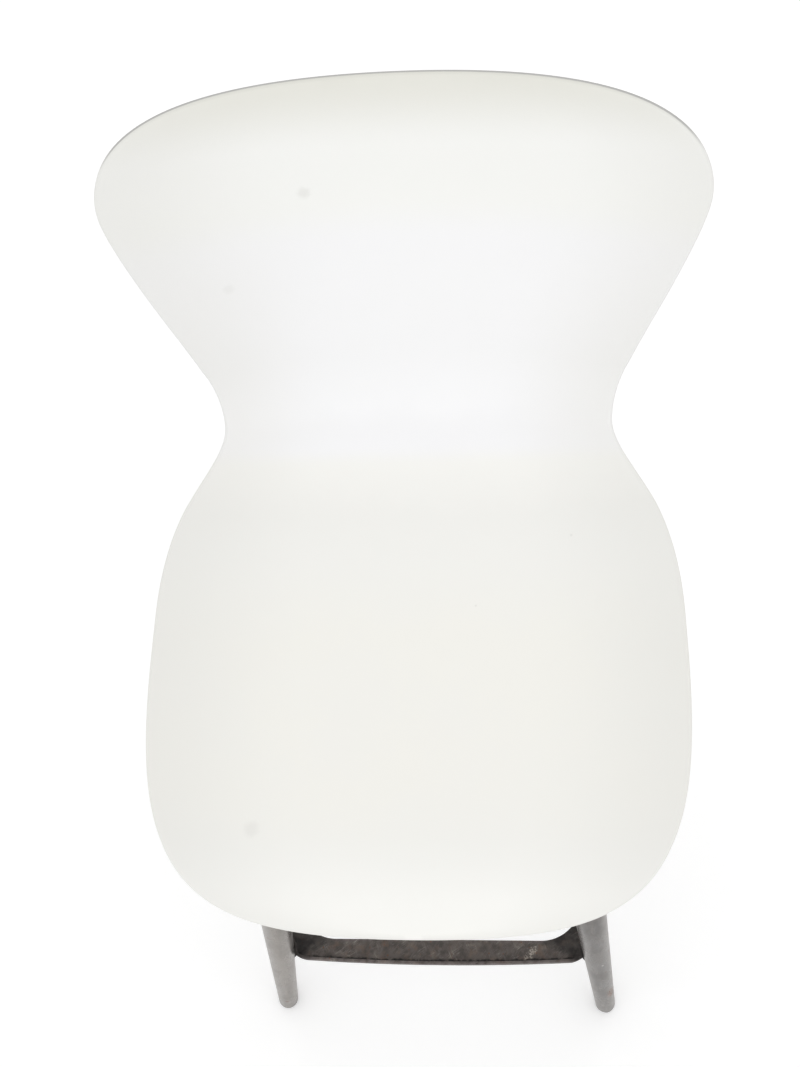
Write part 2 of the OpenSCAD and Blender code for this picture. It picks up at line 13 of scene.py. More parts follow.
import bmesh
import bpy
import numpy as np
from mathutils import Matrix, Vector

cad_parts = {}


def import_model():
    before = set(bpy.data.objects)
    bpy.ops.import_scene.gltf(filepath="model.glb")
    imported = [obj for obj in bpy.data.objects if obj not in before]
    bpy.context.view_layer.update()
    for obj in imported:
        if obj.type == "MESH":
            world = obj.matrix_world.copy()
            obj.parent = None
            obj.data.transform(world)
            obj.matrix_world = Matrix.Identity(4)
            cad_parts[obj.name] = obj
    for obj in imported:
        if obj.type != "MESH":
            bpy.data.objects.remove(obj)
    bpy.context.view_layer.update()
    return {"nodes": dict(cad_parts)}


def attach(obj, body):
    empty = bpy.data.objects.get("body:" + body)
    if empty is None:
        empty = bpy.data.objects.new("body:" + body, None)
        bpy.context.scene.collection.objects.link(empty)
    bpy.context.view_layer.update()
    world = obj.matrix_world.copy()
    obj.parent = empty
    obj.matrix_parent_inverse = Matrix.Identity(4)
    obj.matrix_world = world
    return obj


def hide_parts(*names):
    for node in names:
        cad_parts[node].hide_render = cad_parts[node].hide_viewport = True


LOG = logging.getLogger("bar_stool")
BODY = "root"
MM = 0.001
MERGE_WITHIN = 1e-6
SLIVER_UNDER = 1e-7
WASHER_ROUND = 0.0003

Point = tuple[float, float]
Triple = tuple[float, float, float]
Colour = Triple
Profile = list[tuple[float, ...]]
Material = bpy.types.Material
Piece = bpy.types.Object
Socket = bpy.types.NodeSocket


class Corner(Enum):
    """Corners of the stool, numbered as the seats of the corner tree are."""

    ALL = -1
    FRONT_LEFT = 0
    REAR_LEFT = 1
    FRONT_RIGHT = 2
    REAR_RIGHT = 3


class Slot(Enum):
    """Material slots of the record that a piece can take its finish from."""

    SHELL = "shell_white"
    LEG = "leg_gunmetal"
    FOOTREST = "footrest_metal"
    FRAME = "frame_black"
    ZINC = "zinc_plated"
    BRASS = "brass"
    RUBBER = "rubber_black"
    GLIDE = "glide_nylon"


@dataclass(frozen=True)
class Ramp:
    """Range of values that is mapped onto another, eased or straight, and held at its ends."""

    low: Any
    high: Any
    to_low: float = 0.0
    to_high: float = 1.0
    smooth: bool = True


class Graph:
    """Short way to add nodes to a tree and wire them."""

    def __init__(self, tree: bpy.types.NodeTree) -> None:
        """Takes the tree that it adds to."""
        self.tree = tree

    def add(self, kind: str, **settings: Any) -> bpy.types.Node:
        """Adds a node.

        Args:
            kind: The node's type name.
            settings: Properties to set on it.

        Returns:
            The new node.
        """
        node = self.tree.nodes.new(kind)
        for name, value in settings.items():
            setattr(node, name, value)
        return node

    def wire(self, source: Any, target: Socket) -> None:
        """Links an output to an input, or sets the input to a plain value."""
        if isinstance(source, Socket):
            self.tree.links.new(source, target)
        else:
            target.default_value = source

    def put(self, kind: str, inputs: dict[Any, Any], out: Any = 0, **settings: Any) -> Socket:
        """Adds a node with its inputs wired.

        Args:
            kind: The node's type name.
            inputs: What goes into its inputs, by their names or numbers.
            out: Name or number of the output that is wanted.
            settings: Properties to set on it.

        Returns:
            That output.
        """
        node = self.add(kind, **settings)
        for name, value in inputs.items():
            self.wire(value, node.inputs[name])
        return node.outputs[out]

    def math(self, operation: str, *values: Any) -> Socket:
        """Does a sum on numbers or sockets, in their order."""
        return self.put("ShaderNodeMath", dict(enumerate(values)), operation=operation)

    def times(self, first: Any, second: Any) -> Socket:
        """Multiplies two numbers or sockets."""
        return self.math("MULTIPLY", first, second)

    def plus(self, first: Any, *others: Any) -> Socket:
        """Adds up numbers or sockets, in their order."""
        for other in others:
            first = self.math("ADD", first, other)
        return first

    def minus(self, first: Any, second: Any) -> Socket:
        """Takes the second number or socket from the first."""
        return self.math("SUBTRACT", first, second)

    def most(self, first: Any, second: Any) -> Socket:
        """Greater of two numbers or sockets."""
        return self.math("MAXIMUM", first, second)

    def vector(self, operation: str, *values: Any, out: int = 0) -> Socket:
        """Does a sum on vectors. A length or a distance is its output 1."""
        return self.put("ShaderNodeVectorMath", dict(enumerate(values)), out, operation=operation)

    def parts(self, vector: Any) -> tuple[Socket, ...]:
        """Takes a vector apart into its x, y and z."""
        return tuple(self.put("ShaderNodeSeparateXYZ", {0: vector}).node.outputs)

    def joined(self, x: Any, y: Any, z: Any) -> Socket:
        """Makes a vector of its x, y and z."""
        return self.put("ShaderNodeCombineXYZ", {0: x, 1: y, 2: z})

    def remap(self, value: Any, ramp: Ramp) -> Socket:
        """Maps a value by a ramp."""
        inputs = dict(enumerate((value, ramp.low, ramp.high, ramp.to_low, ramp.to_high)))
        kind = "SMOOTHSTEP" if ramp.smooth else "LINEAR"
        return self.put("ShaderNodeMapRange", inputs, clamp=True, interpolation_type=kind)

    def noise(self, vector: Any, scale: Any, detail: float, roughness: float = 0.5) -> Socket:
        """Adds a noise pattern.

        Args:
            vector: Coordinates to read.
            scale: Waves per metre.
            detail: Octaves.
            roughness: Share of each finer octave.

        Returns:
            The pattern's value socket.
        """
        inputs = {"Vector": vector, "Scale": scale, "Detail": detail, "Roughness": roughness}
        return self.put("ShaderNodeTexNoise", inputs)

    def blend(self, share: Any, first: Any, second: Any) -> Socket:
        """Mixes two colours.

        Args:
            share: How much of the second colour shows.
            first: Colour or socket at a share of 0.
            second: Colour or socket at a share of 1.

        Returns:
            The mixed colour's socket.
        """
        ends = [end if isinstance(end, Socket) else (*end, 1.0) for end in (first, second)]
        return self.put("ShaderNodeMix", {0: share, 6: ends[0], 7: ends[1]}, 2, data_type="RGBA")


@dataclass(frozen=True)
class Grain:
    """Inputs of the fine grain: its waves per metre, and how much broader waves soften it."""

    scale: float
    softness: float


@dataclass(frozen=True)
class Cloud:
    """Inputs of the mottle: its waves per metre, and where in them its mask starts and is full."""

    scale: float
    low: float
    high: float


@dataclass(frozen=True)
class Strokes:
    """Inputs of the scratches: their heading, lines per metre, share that shows, and width."""

    turn: float
    per_metre: float
    amount: float
    width: float = 0.025


@dataclass(frozen=True)
class Specks:
    """Inputs of the specks: cells per metre, and the share of them that holds one."""

    per_metre: float
    amount: float


class Effects:
    """Shader node groups that give masks and heights, each built once."""

    BROADER = 0.31
    SCRATCH_STRETCH = (1.0, 0.045, 1.0)
    SCRATCH_PATCHES = 0.12
    SCRATCH_LEAST, SCRATCH_FALL, SCRATCH_FULL = 0.72, 0.4, 0.75
    SPECK_SIZE = Ramp(0.0, 1.0, 0.08, 0.34, smooth=False)
    SPECK_BORDER = Ramp(0.6, 1.1, 1.0, 0.0)

    def __init__(self) -> None:
        """Builds the groups, by the class that holds their inputs."""
        self.groups = {Grain: self._grain(), Cloud: self._mottle(), Strokes: self._scratches(),
                       Specks: self._specks()}

    @staticmethod
    def label(name: str) -> str:
        """Name of the group input that a field sets."""
        return name.replace("_", " ").title()

    def _group(self, name: str, look: type, result: str) -> tuple[Graph, Any, Socket]:
        """Starts a group with its sockets.

        Args:
            name: The group's name.
            look: Class whose fields are its number inputs.
            result: Name of its output.

        Returns:
            The group's graph, its inputs by name, and the socket that takes its result.
        """
        tree = bpy.data.node_groups.new(name, "ShaderNodeTree")
        tree.interface.new_socket(name="Vector", in_out="INPUT", socket_type="NodeSocketVector")
        for part in fields(look):
            tree.interface.new_socket(name=self.label(part.name), in_out="INPUT",
                                      socket_type="NodeSocketFloat")
        tree.interface.new_socket(name=result, in_out="OUTPUT", socket_type="NodeSocketFloat")
        graph = Graph(tree)
        given = graph.add("NodeGroupInput").outputs
        return graph, given, graph.add("NodeGroupOutput").inputs[result]

    def _grain(self) -> bpy.types.NodeTree:
        """Fine skin of a moulded or coated surface, as a height."""
        g, given, result = self._group("fine_grain", Grain, "Height")
        fine = g.noise(given["Vector"], given["Scale"], 2.0)
        broad = g.noise(given["Vector"], g.times(given["Scale"], self.BROADER), 1.0)
        g.wire(g.plus(fine, g.times(broad, given["Softness"])), result)
        return g.tree

    def _mottle(self) -> bpy.types.NodeTree:
        """Soft cloudy patches, as a mask from 0 to 1."""
        g, given, result = self._group("mottle", Cloud, "Mask")
        cloud = g.noise(given["Vector"], given["Scale"], 5.0, 0.6)
        g.wire(g.remap(cloud, Ramp(given["Low"], given["High"])), result)
        return g.tree

    def _scratches(self) -> bpy.types.NodeTree:
        """Thin straight scratches that run one way, broken into short lengths, as a mask."""
        g, given, result = self._group("scratches", Strokes, "Mask")
        inputs = {"Vector": given["Vector"], "Angle": given["Turn"]}
        turned = g.put("ShaderNodeVectorRotate", inputs, rotation_type="Z_AXIS")
        drawn = g.vector("MULTIPLY", turned, self.SCRATCH_STRETCH)
        lines = g.noise(drawn, given["Per Metre"], 1.0)
        thin = g.math("ABSOLUTE", g.minus(lines, 0.5))
        line = g.remap(thin, Ramp(0.0, given["Width"], 1.0, 0.0))
        patch = g.noise(given["Vector"], g.times(given["Per Metre"], self.SCRATCH_PATCHES), 2.0)
        start = g.minus(self.SCRATCH_LEAST, g.times(given["Amount"], self.SCRATCH_FALL))
        g.wire(g.times(line, g.remap(patch, Ramp(start, self.SCRATCH_FULL))), result)
        return g.tree

    def _specks(self) -> bpy.types.NodeTree:
        """Scattered round specks of uneven size, as a mask."""
        g, given, result = self._group("specks", Specks, "Mask")
        cell = {"Vector": given["Vector"], "Scale": given["Per Metre"]}
        away = g.put("ShaderNodeTexVoronoi", cell, "Distance", feature="F1")
        red = g.put("ShaderNodeSeparateColor", {0: away.node.outputs["Color"]})
        chosen = g.math("LESS_THAN", red, given["Amount"])
        size = g.remap(red.node.outputs[1], self.SPECK_SIZE)
        spot = g.remap(g.math("DIVIDE", away, size), self.SPECK_BORDER)
        g.wire(g.times(chosen, spot), result)
        return g.tree


@dataclass(frozen=True)
class Waves:
    """Plain noise: its waves per metre, octaves, their roughness, and its share drawn along z."""

    scale: float
    detail: float
    roughness: float = 0.5
    along: float = 1.0


@dataclass(frozen=True)
class Patch:
    """Mark at a place, in the coordinates that its finish reads, drawn out by a squash under 1."""

    place: Triple
    radius: float
    share: float
    squash: float = 1.0


@dataclass(frozen=True)
class Border:
    """Border of a patch, in its radii: how ragged it is, where the mark starts to fade and ends."""

    ragged: float
    start: float
    end: float


class Surface(Graph):
    """Graph of one material, with its shader's inputs, its coordinates and the shared effects."""

    def __init__(self, material: Material, effects: Effects) -> None:
        """Takes the material and the shared node groups."""
        super().__init__(material.node_tree)
        self.effects = effects
        self.inputs = material.node_tree.nodes["Principled BSDF"].inputs
        self.place = self.add("ShaderNodeTexCoord").outputs["Object"]

    def give(self, name: str, value: Any) -> None:
        """Sets or links one of the shader's inputs."""
        self.wire(value, self.inputs[name])

    def attribute(self, name: str, out: str = "Fac") -> Socket:
        """Reads a value that the piece keeps on its points."""
        return self.put("ShaderNodeAttribute", {}, out, attribute_name=name)

    def effect(self, look: Grain | Cloud | Strokes | Specks, place: Any = None) -> Socket:
        """Places one shared effect.

        Args:
            look: The effect's inputs.
            place: Coordinates it reads, the object's own where none are given.

        Returns:
            The effect's output.
        """
        inputs = {Effects.label(name): value for name, value in vars(look).items()}
        inputs["Vector"] = self.place if place is None else place
        return self.put("ShaderNodeGroup", inputs, node_tree=self.effects.groups[type(look)])

    def drawn(self, place: Any, share: float) -> Socket:
        """Draws a pattern out along z, where its coordinates only run at a share."""
        return self.vector("MULTIPLY", place, (1.0, 1.0, share))

    def waves(self, waves: Waves, place: Any) -> Socket:
        """Adds a finish's noise."""
        place = self.drawn(place, waves.along)
        return self.noise(place, waves.scale, waves.detail, waves.roughness)

    def ragged(self, waves: Waves, place: Any) -> Socket:
        """Noise about 0, for uneven borders."""
        return self.minus(self.waves(waves, place), 0.5)

    def patches(self, place: Any, marks: Sequence[Patch], ragged: Socket, border: Border) -> Any:
        """Mask of patches with a ragged border.

        Args:
            place: Coordinates that their places are in.
            marks: The patches.
            ragged: Noise that makes the borders uneven.
            border: How far it does so, and where they fade.

        Returns:
            The mask.
        """
        total: Any = 0.0
        for mark in marks:
            x, y, z = mark.place
            middle = (x, y, z * mark.squash)
            away = self.vector("DISTANCE", self.drawn(place, mark.squash), middle, out=1)
            away = self.plus(away, self.times(ragged, mark.radius * border.ragged))
            fade = Ramp(mark.radius * border.start, mark.radius * border.end, mark.share, 0.0)
            total = self.most(total, self.remap(away, fade))
        return total

    def relief(self, height: Any, depth: float) -> None:
        """Bumps the surface by a height map, whose height of 1 is a depth in metres."""
        inputs = {"Strength": 1.0, "Distance": depth, "Height": height}
        self.give("Normal", self.put("ShaderNodeBump", inputs))


@dataclass(frozen=True)
class Finish:
    """Base of every finish: one material with a Principled shader and shared effects."""

    name: str
    roughness: float = 0.5
    metallic: float = 0.0
    smoother: float = 0.0
    rougher: float = 0.12
    stain_roughens: float = 0.3
    stain_covers: float = 0.7

    def build(self, effects: Effects) -> Material:
        """Makes the material with the shared node groups."""
        material = bpy.data.materials.new(self.name)
        material.use_nodes = True
        surface = Surface(material, effects)
        surface.give("Roughness", self.roughness)
        surface.give("Metallic", self.metallic)
        self.paint(surface)
        return material

    def paint(self, g: Surface) -> None:
        """Wires the finish's own colour, roughness and relief."""
        raise NotImplementedError

    def rubbed(self, g: Surface, mask: Any) -> Socket:
        """Roughness from smoother to rougher than the finish's own, by a mask."""
        ends = (self.roughness - self.smoother, self.roughness + self.rougher)
        return g.remap(mask, Ramp(0.0, 1.0, *ends))

    def stained(self, g: Surface, rough: Any, stain: Any) -> None:
        """Roughens the metal and takes its shine under a mask of rust, dirt and painted shade."""
        g.give("Roughness", g.plus(rough, g.times(stain, self.stain_roughens)))
        g.give("Metallic", g.minus(self.metallic, g.times(stain, self.stain_covers)))


@dataclass(frozen=True)
class ShellFinish(Finish):
    """Satin white plastic: neutral on the back and warmer on the seat, with smudges.

    Painted shade darkens it towards the sides, at the waist, along the top band and on the far side
    of the top rim; at the sides and along the top band it is warmer too.

    Its ramps read the flat shell: metres along it, half widths across it, or the share of the way
    from the sitter's side round the rim to the rear.
    """

    name: str = "satin_white_plastic"
    roughness: float = 0.42
    smoother: float = 0.03
    rougher: float = 0.07
    specular: float = 0.45
    back: Colour = (0.875, 0.875, 0.885)
    seat: Colour = (0.872, 0.868, 0.836)
    high: Colour = (0.872, 0.875, 0.853)
    # painted shade: a slightly darker band at the waist's bend
    crook: Colour = (0.85, 0.85, 0.86)
    warm: Colour = (0.874, 0.864, 0.816)
    # painted shade towards the sides, darker and warmer; also the tone of the random mottle
    side: Colour = (0.765, 0.76, 0.728)
    # painted shade along the band at the top, darker and warmer
    top: Colour = (0.729, 0.724, 0.665)
    mark: Colour = (0.50, 0.49, 0.46)
    # painted shade: grey line on the far side of the top rim
    rim: Colour = (0.46, 0.455, 0.44)
    to_back: Ramp = Ramp(0.448, 0.470)
    to_high: Ramp = Ramp(0.700, 0.745)
    to_top_shade: Ramp = Ramp(0.79, 0.85)
    crook_at: float = 0.490
    crook_fade: Ramp = Ramp(0.0, 0.05, 1.0, 0.0)
    sat_from: Ramp = Ramp(0.05, 0.13)
    sat_to: Ramp = Ramp(0.26, 0.36, 1.0, 0.0)
    sat_clouded: Ramp = Ramp(0.0, 1.0, 1.0, 0.6)
    # moves the middle of the painted side shade along the back
    lean: Ramp = Ramp(0.5, 0.75, 0.0, 0.07)
    to_side_shade: Ramp = Ramp(0.4, 1.05, 0.0, 0.5)
    rim_shade_from: Ramp = Ramp(0.22, 0.34)
    rim_shade_to: Ramp = Ramp(0.62, 0.8, 1.0, 0.0)
    rim_shade_along: Ramp = Ramp(0.792, 0.812)
    cloud: Cloud = Cloud(9.0, 0.3, 0.75)
    cloud_share: float = 0.06
    rub: Cloud = Cloud(38.0, 0.35, 0.8)
    skin: Grain = Grain(1400.0, 0.6)
    skin_depth: float = 0.02 * MM
    smudges: tuple[Patch, ...] = ()
    smudge_border: Border = Border(0.8, 0.35, 1.5)
    smudge_waves: Waves = Waves(240.0, 2.0)
    smudge_share: float = 0.35

    def paint(self, g: Surface) -> None:
        """Wires the tone over the shell with its painted shade, the smudges and the moulded skin.
        """
        lie = g.attribute("lie", "Vector")
        _, along, round_ = g.parts(lie)
        across = g.parts(g.attribute("reach", "Vector"))[0]
        cloud = g.effect(self.cloud)
        tone = g.blend(g.remap(along, self.to_back), self.seat, self.back)
        tone = g.blend(g.remap(along, self.to_high), tone, self.high)
        # painted shade at the waist's bend
        bend = g.remap(g.math("ABSOLUTE", g.minus(along, self.crook_at)), self.crook_fade)
        tone = g.blend(bend, tone, self.crook)
        sat_on = g.times(g.remap(along, self.sat_from), g.remap(along, self.sat_to))
        sat_on = g.times(sat_on, g.remap(cloud, self.sat_clouded))
        tone = g.blend(sat_on, tone, self.warm)
        # painted shade towards the sides, its middle leaning along the back
        sideways = g.math("ABSOLUTE", g.minus(across, g.remap(along, self.lean)))
        tone = g.blend(g.remap(sideways, self.to_side_shade), tone, self.side)
        # painted shade along the top band
        tone = g.blend(g.remap(along, self.to_top_shade), tone, self.top)
        # random mottle, in the darker tone of the painted side shade
        tone = g.blend(g.times(cloud, self.cloud_share), tone, self.side)
        ragged = g.ragged(self.smudge_waves, g.place)
        marks = g.patches(lie, self.smudges, ragged, self.smudge_border)
        tone = g.blend(g.times(marks, self.smudge_share), tone, self.mark)
        # painted shade: grey line on the far side of the top rim
        line = g.times(g.remap(round_, self.rim_shade_from), g.remap(along, self.rim_shade_along))
        line = g.times(line, g.remap(round_, self.rim_shade_to))
        g.give("Base Color", g.blend(line, tone, self.rim))
        g.give("Roughness", self.rubbed(g, g.effect(self.rub)))
        g.give("Specular IOR Level", self.specular)
        g.relief(g.effect(self.skin), self.skin_depth)


@dataclass(frozen=True)
class LegFinish(Finish):
    """Waxed raw steel tube: cloudy, with soft lengthwise bands, fine drawn lines and some rust."""

    name: str = "waxed_gunmetal"
    roughness: float = 0.30
    metallic: float = 0.85
    smoother: float = 0.04
    rougher: float = 0.07
    steel: Colour = (0.33, 0.302, 0.274)
    dark: Colour = (0.18, 0.17, 0.165)
    blue: Colour = (0.205, 0.203, 0.213)
    deep: Colour = (0.078, 0.073, 0.073)
    sheen: Colour = (0.60, 0.585, 0.57)
    grazing: Colour = (0.87, 0.86, 0.85)
    bare: Colour = (0.62, 0.6, 0.58)
    rust: Colour = (0.25, 0.125, 0.08)
    bands: Waves = Waves(105.0, 2.0, along=0.05)
    band_edge: Ramp = Ramp(0.35, 0.65)
    band_share: float = 0.3
    lines: Waves = Waves(900.0, 2.0, along=0.02)
    cloud: Cloud = Cloud(60.0, 0.3, 0.8)
    cloud_along: float = 0.3
    cloud_share: float = 0.15
    fine: Cloud = Cloud(170.0, 0.3, 0.75)
    fine_share: float = 0.05
    line_share: float = 0.2
    patina_share: float = 0.2
    shading: Ramp = Ramp(0.0, 1.0, smooth=False)
    deep_by_height: Ramp = Ramp(0.03, 0.2, 0.44, 0.7)
    tarnish: Cloud = Cloud(42.0, 0.46, 0.62)
    tarnish_along: float = 0.5
    tarnish_share: float = 0.45
    sheen_edge: Ramp = Ramp(0.76, 0.95, 0.0, 0.6, smooth=False)
    scratches: Strokes = Strokes(0.16, 420.0, 0.1)
    scratch_share: float = 0.25
    specks: Specks = Specks(75.0, 0.05)
    speck_share: float = 0.6
    rusty: tuple[Patch, ...] = (Patch((1.4910, 0.9099, 2.9513), 0.0085, 1.0, 0.3),)
    rusty_most: float = 0.9
    rusty_waves: Waves = Waves(700.0, 2.0, along=0.35)
    rusty_gaps: Ramp = Ramp(0.44, 0.56)
    scraped: tuple[Patch, ...] = (Patch((1.4862, 0.9050, 3.1139), 0.0022, 0.8, 0.6),)
    border: Border = Border(1.0, 0.3, 1.0)
    border_waves: Waves = Waves(400.0, 3.0)
    bare_depth: float = 0.8
    line_depth: float = 0.008 * MM

    def paint(self, g: Surface) -> None:
        """Wires bands, clouds, drawn lines, rust and small scratches."""
        own, patina = g.attribute("own", "Vector"), g.attribute("patina")
        band = g.remap(g.waves(self.bands, own), self.band_edge)
        line = g.waves(self.lines, own)
        cloud = g.effect(self.cloud, g.drawn(own, self.cloud_along))
        shade = g.plus(g.times(band, self.band_share), g.times(cloud, self.cloud_share),
                       g.times(g.effect(self.fine), self.fine_share),
                       g.times(g.minus(line, 0.5), self.line_share),
                       g.times(patina, self.patina_share))
        colour = g.blend(g.remap(shade, self.shading), self.steel, self.dark)
        kept = g.remap(g.parts(g.place)[2], self.deep_by_height)
        colour = g.blend(g.times(patina, kept), colour, self.deep)
        tarnish = g.times(g.effect(self.tarnish, g.drawn(own, self.tarnish_along)), patina)
        colour = g.blend(g.times(tarnish, self.tarnish_share), colour, self.blue)
        turned_away = g.add("ShaderNodeLayerWeight").outputs["Facing"]
        colour = g.blend(g.remap(turned_away, self.sheen_edge), colour, self.sheen)
        x, y, z = g.parts(own)
        scratch = g.effect(self.scratches, g.joined(x, z, y))
        ragged = g.ragged(self.border_waves, own)
        scraped = g.patches(own, self.scraped, ragged, self.border)
        bare = g.most(g.times(scratch, self.scratch_share), scraped)
        colour = g.blend(bare, colour, self.bare)
        rusty = g.times(g.patches(own, self.rusty, ragged, self.border),
                        g.remap(g.waves(self.rusty_waves, own), self.rusty_gaps))
        specks = g.times(g.effect(self.specks), self.speck_share)
        stain = g.most(specks, g.math("MINIMUM", rusty, self.rusty_most))
        g.give("Base Color", g.blend(stain, colour, self.rust))
        g.give("Specular Tint", (*self.grazing, 1.0))
        self.stained(g, self.rubbed(g, cloud), stain)
        g.relief(g.minus(line, g.times(bare, self.bare_depth)), self.line_depth)


@dataclass(frozen=True)
class FootrestFinish(Finish):
    """Dark brown-grey steel, scuffed by shoes: fine scratches, pale scuffs, creases blackened by
    grime and painted shade, and painted shade on the tread by the legs.
    """

    name: str = "scuffed_footrest_steel"
    roughness: float = 0.46
    metallic: float = 0.75
    base: Colour = (0.135, 0.118, 0.108)
    shaded: Colour = (0.075, 0.066, 0.062)
    tint: Colour = (0.19, 0.135, 0.105)
    worn: Colour = (0.42, 0.375, 0.33)
    lip: Colour = (0.26, 0.225, 0.22)
    scratch: Colour = (0.5, 0.46, 0.43)
    rust: Colour = (0.15, 0.065, 0.038)
    # grime and painted shade in the crease, and painted shade on the tread by the legs
    grime: Colour = (0.006, 0.005, 0.005)
    cloud: Cloud = Cloud(95.0, 0.34, 0.68)
    cloud_share: float = 0.85
    cloud_roughens: float = 0.12
    warmth: Cloud = Cloud(85.0, 0.5, 0.68)
    warmth_share: float = 0.5
    worn_share: float = 0.65
    rub_waves: Waves = Waves(150.0, 3.0)
    rubbing: Ramp = Ramp(0.35, 0.6)
    lip_share: float = 0.35
    specks: Specks = Specks(230.0, 0.2)
    speck_share: float = 0.7
    crease_waves: Waves = Waves(150.0, 4.0)
    crease_ragged: float = 2.4
    crease_edge: Ramp = Ramp(0.35, 1.0)
    crease_depth: Ramp = Ramp(0.02, 0.4, 0.0, 0.9)
    # painted shade on the tread by the legs, mottled by the cloud
    notch_shade: Ramp = Ramp(0.0, 1.0, 0.0, 0.85)
    notch_clouded: Ramp = Ramp(0.0, 1.0, 0.8, 1.0)
    pits: Grain = Grain(800.0, 0.8)
    pit_depth: float = 0.03 * MM
    scratch_depth: float = 0.9
    scuff_at: Triple = (0.1114, -0.2438, 0.26)
    scuff_r: float = 0.011
    scuff_turn: float = math.radians(-50.0)
    scuff_squeeze: Triple = (0.8, 1.6, 1.0)
    scuff_waves: Waves = Waves(260.0, 4.0, 0.7)
    scuff_ragged: float = 0.022
    scuff_from: float = 0.3
    scuff_to: float = 0.9
    speckle_waves: Waves = Waves(480.0, 2.0)
    speckle: Ramp = Ramp(0.42, 0.62, 0.1, 1.5)
    wear: Cloud = Cloud(62.0, 0.55, 0.8)
    wear_share: float = 0.6
    slanting: Strokes = Strokes(1.0, 620.0, 0.7, 0.035)
    crossing: Strokes = Strokes(-0.4, 520.0, 0.6, 0.03)
    crossing_share: float = 0.8
    line_share: float = 0.5
    dense: Strokes = Strokes(0.6, 900.0, 1.3, 0.05)
    dense_by_wear: Ramp = Ramp(0.0, 1.0, 0.12, 0.6)

    def paint(self, g: Surface) -> None:
        """Wires wear on the edges, scratches, scuffs and rust, grime and painted shade in the
        crease, and painted shade on the tread by the legs.
        """
        # crease: grime and painted shade; edge: worn edges; near: painted shade by the legs
        crease, edge, near = (g.attribute(name) for name in ("crease", "edge", "near"))
        cloud = g.effect(self.cloud)
        colour = g.blend(g.times(cloud, self.cloud_share), self.base, self.shaded)
        warm = g.effect(self.warmth)
        colour = g.blend(g.times(warm, self.warmth_share), colour, self.tint)
        patch, lines = self.scuffs(g)
        colour = g.blend(g.times(patch, self.worn_share), colour, self.worn)
        colour = g.blend(lines, colour, self.scratch)
        rubbed = g.times(edge, g.remap(g.waves(self.rub_waves, g.place), self.rubbing))
        colour = g.blend(g.times(rubbed, self.lip_share), colour, self.lip)
        rust = g.effect(self.specks)
        colour = g.blend(g.times(rust, self.speck_share), colour, self.rust)
        # grime and painted shade in the crease, broken up by noise
        ragged = g.ragged(self.crease_waves, g.place)
        uneven = g.plus(crease, g.times(ragged, self.crease_ragged))
        dirt = g.times(g.remap(uneven, self.crease_edge), g.remap(crease, self.crease_depth))
        # painted shade on the tread by the legs
        notch = g.times(g.remap(near, self.notch_shade), g.remap(cloud, self.notch_clouded))
        dirt = g.most(dirt, notch)
        g.give("Base Color", g.blend(dirt, colour, self.grime))
        rough = g.plus(self.roughness, g.times(cloud, self.cloud_roughens))
        self.stained(g, rough, g.most(dirt, rust))
        height = g.minus(g.effect(self.pits), g.times(lines, self.scratch_depth))
        g.relief(height, self.pit_depth)

    def scuffs(self, g: Surface) -> tuple[Socket, Socket]:
        """Wires the pale scuffs and the scratches, which are denser where it is scuffed.

        Args:
            g: Graph of the material.

        Returns:
            The masks of the scuffs and of the scratches.
        """
        inputs = {"Vector": g.vector("SUBTRACT", g.place, self.scuff_at), "Angle": self.scuff_turn}
        turned = g.put("ShaderNodeVectorRotate", inputs, rotation_type="Z_AXIS")
        away = g.vector("LENGTH", g.vector("MULTIPLY", turned, self.scuff_squeeze), out=1)
        ragged = g.ragged(self.scuff_waves, g.place)
        away = g.plus(away, g.times(ragged, self.scuff_ragged))
        fade = Ramp(self.scuff_r * self.scuff_from, self.scuff_r * self.scuff_to, 1.0, 0.0)
        speckle = g.remap(g.waves(self.speckle_waves, g.place), self.speckle)
        spot = g.times(g.remap(away, fade), speckle)
        patch = g.most(spot, g.times(g.effect(self.wear), self.wear_share))
        crossing = g.times(g.effect(self.crossing), self.crossing_share)
        lines = g.times(g.most(g.effect(self.slanting), crossing), self.line_share)
        dense = g.times(g.effect(self.dense), g.remap(patch, self.dense_by_wear))
        return patch, g.most(lines, dense)


@dataclass(frozen=True)
class CoatedFinish(Finish):
    """Coating, rubber or nylon: one tone with a fine skin and slight rubbing."""

    tone: Colour = (0.02, 0.02, 0.021)
    worn: Colour = (0.05, 0.05, 0.052)
    cloud: Cloud = Cloud(55.0, 0.4, 0.75)
    cloud_share: float = 0.6
    skin: Grain = Grain(1600.0, 0.7)
    skin_depth: float = 0.03 * MM

    def paint(self, g: Surface) -> None:
        """Wires a rubbed tone and the skin."""
        cloud = g.effect(self.cloud)
        g.give("Base Color", g.blend(g.times(cloud, self.cloud_share), self.tone, self.worn))
        g.give("Roughness", self.rubbed(g, cloud))
        g.relief(g.effect(self.skin), self.skin_depth)


@dataclass(frozen=True)
class PlatedFinish(Finish):
    """Plated or bare metal of the fasteners: bright, slightly cloudy, with faint tool marks."""

    metallic: float = 1.0
    rougher: float = 0.15
    tone: Colour = (0.6, 0.59, 0.57)
    dull: Colour = (0.42, 0.41, 0.4)
    cloud: Cloud = Cloud(150.0, 0.35, 0.7)
    marks: Strokes = Strokes(0.3, 1500.0, 0.7)
    mark_depth: float = 0.01 * MM

    def paint(self, g: Surface) -> None:
        """Wires the cloudy plating and the tool marks."""
        cloud = g.effect(self.cloud)
        g.give("Base Color", g.blend(cloud, self.tone, self.dull))
        g.give("Roughness", self.rubbed(g, cloud))
        g.relief(g.effect(self.marks), self.mark_depth)


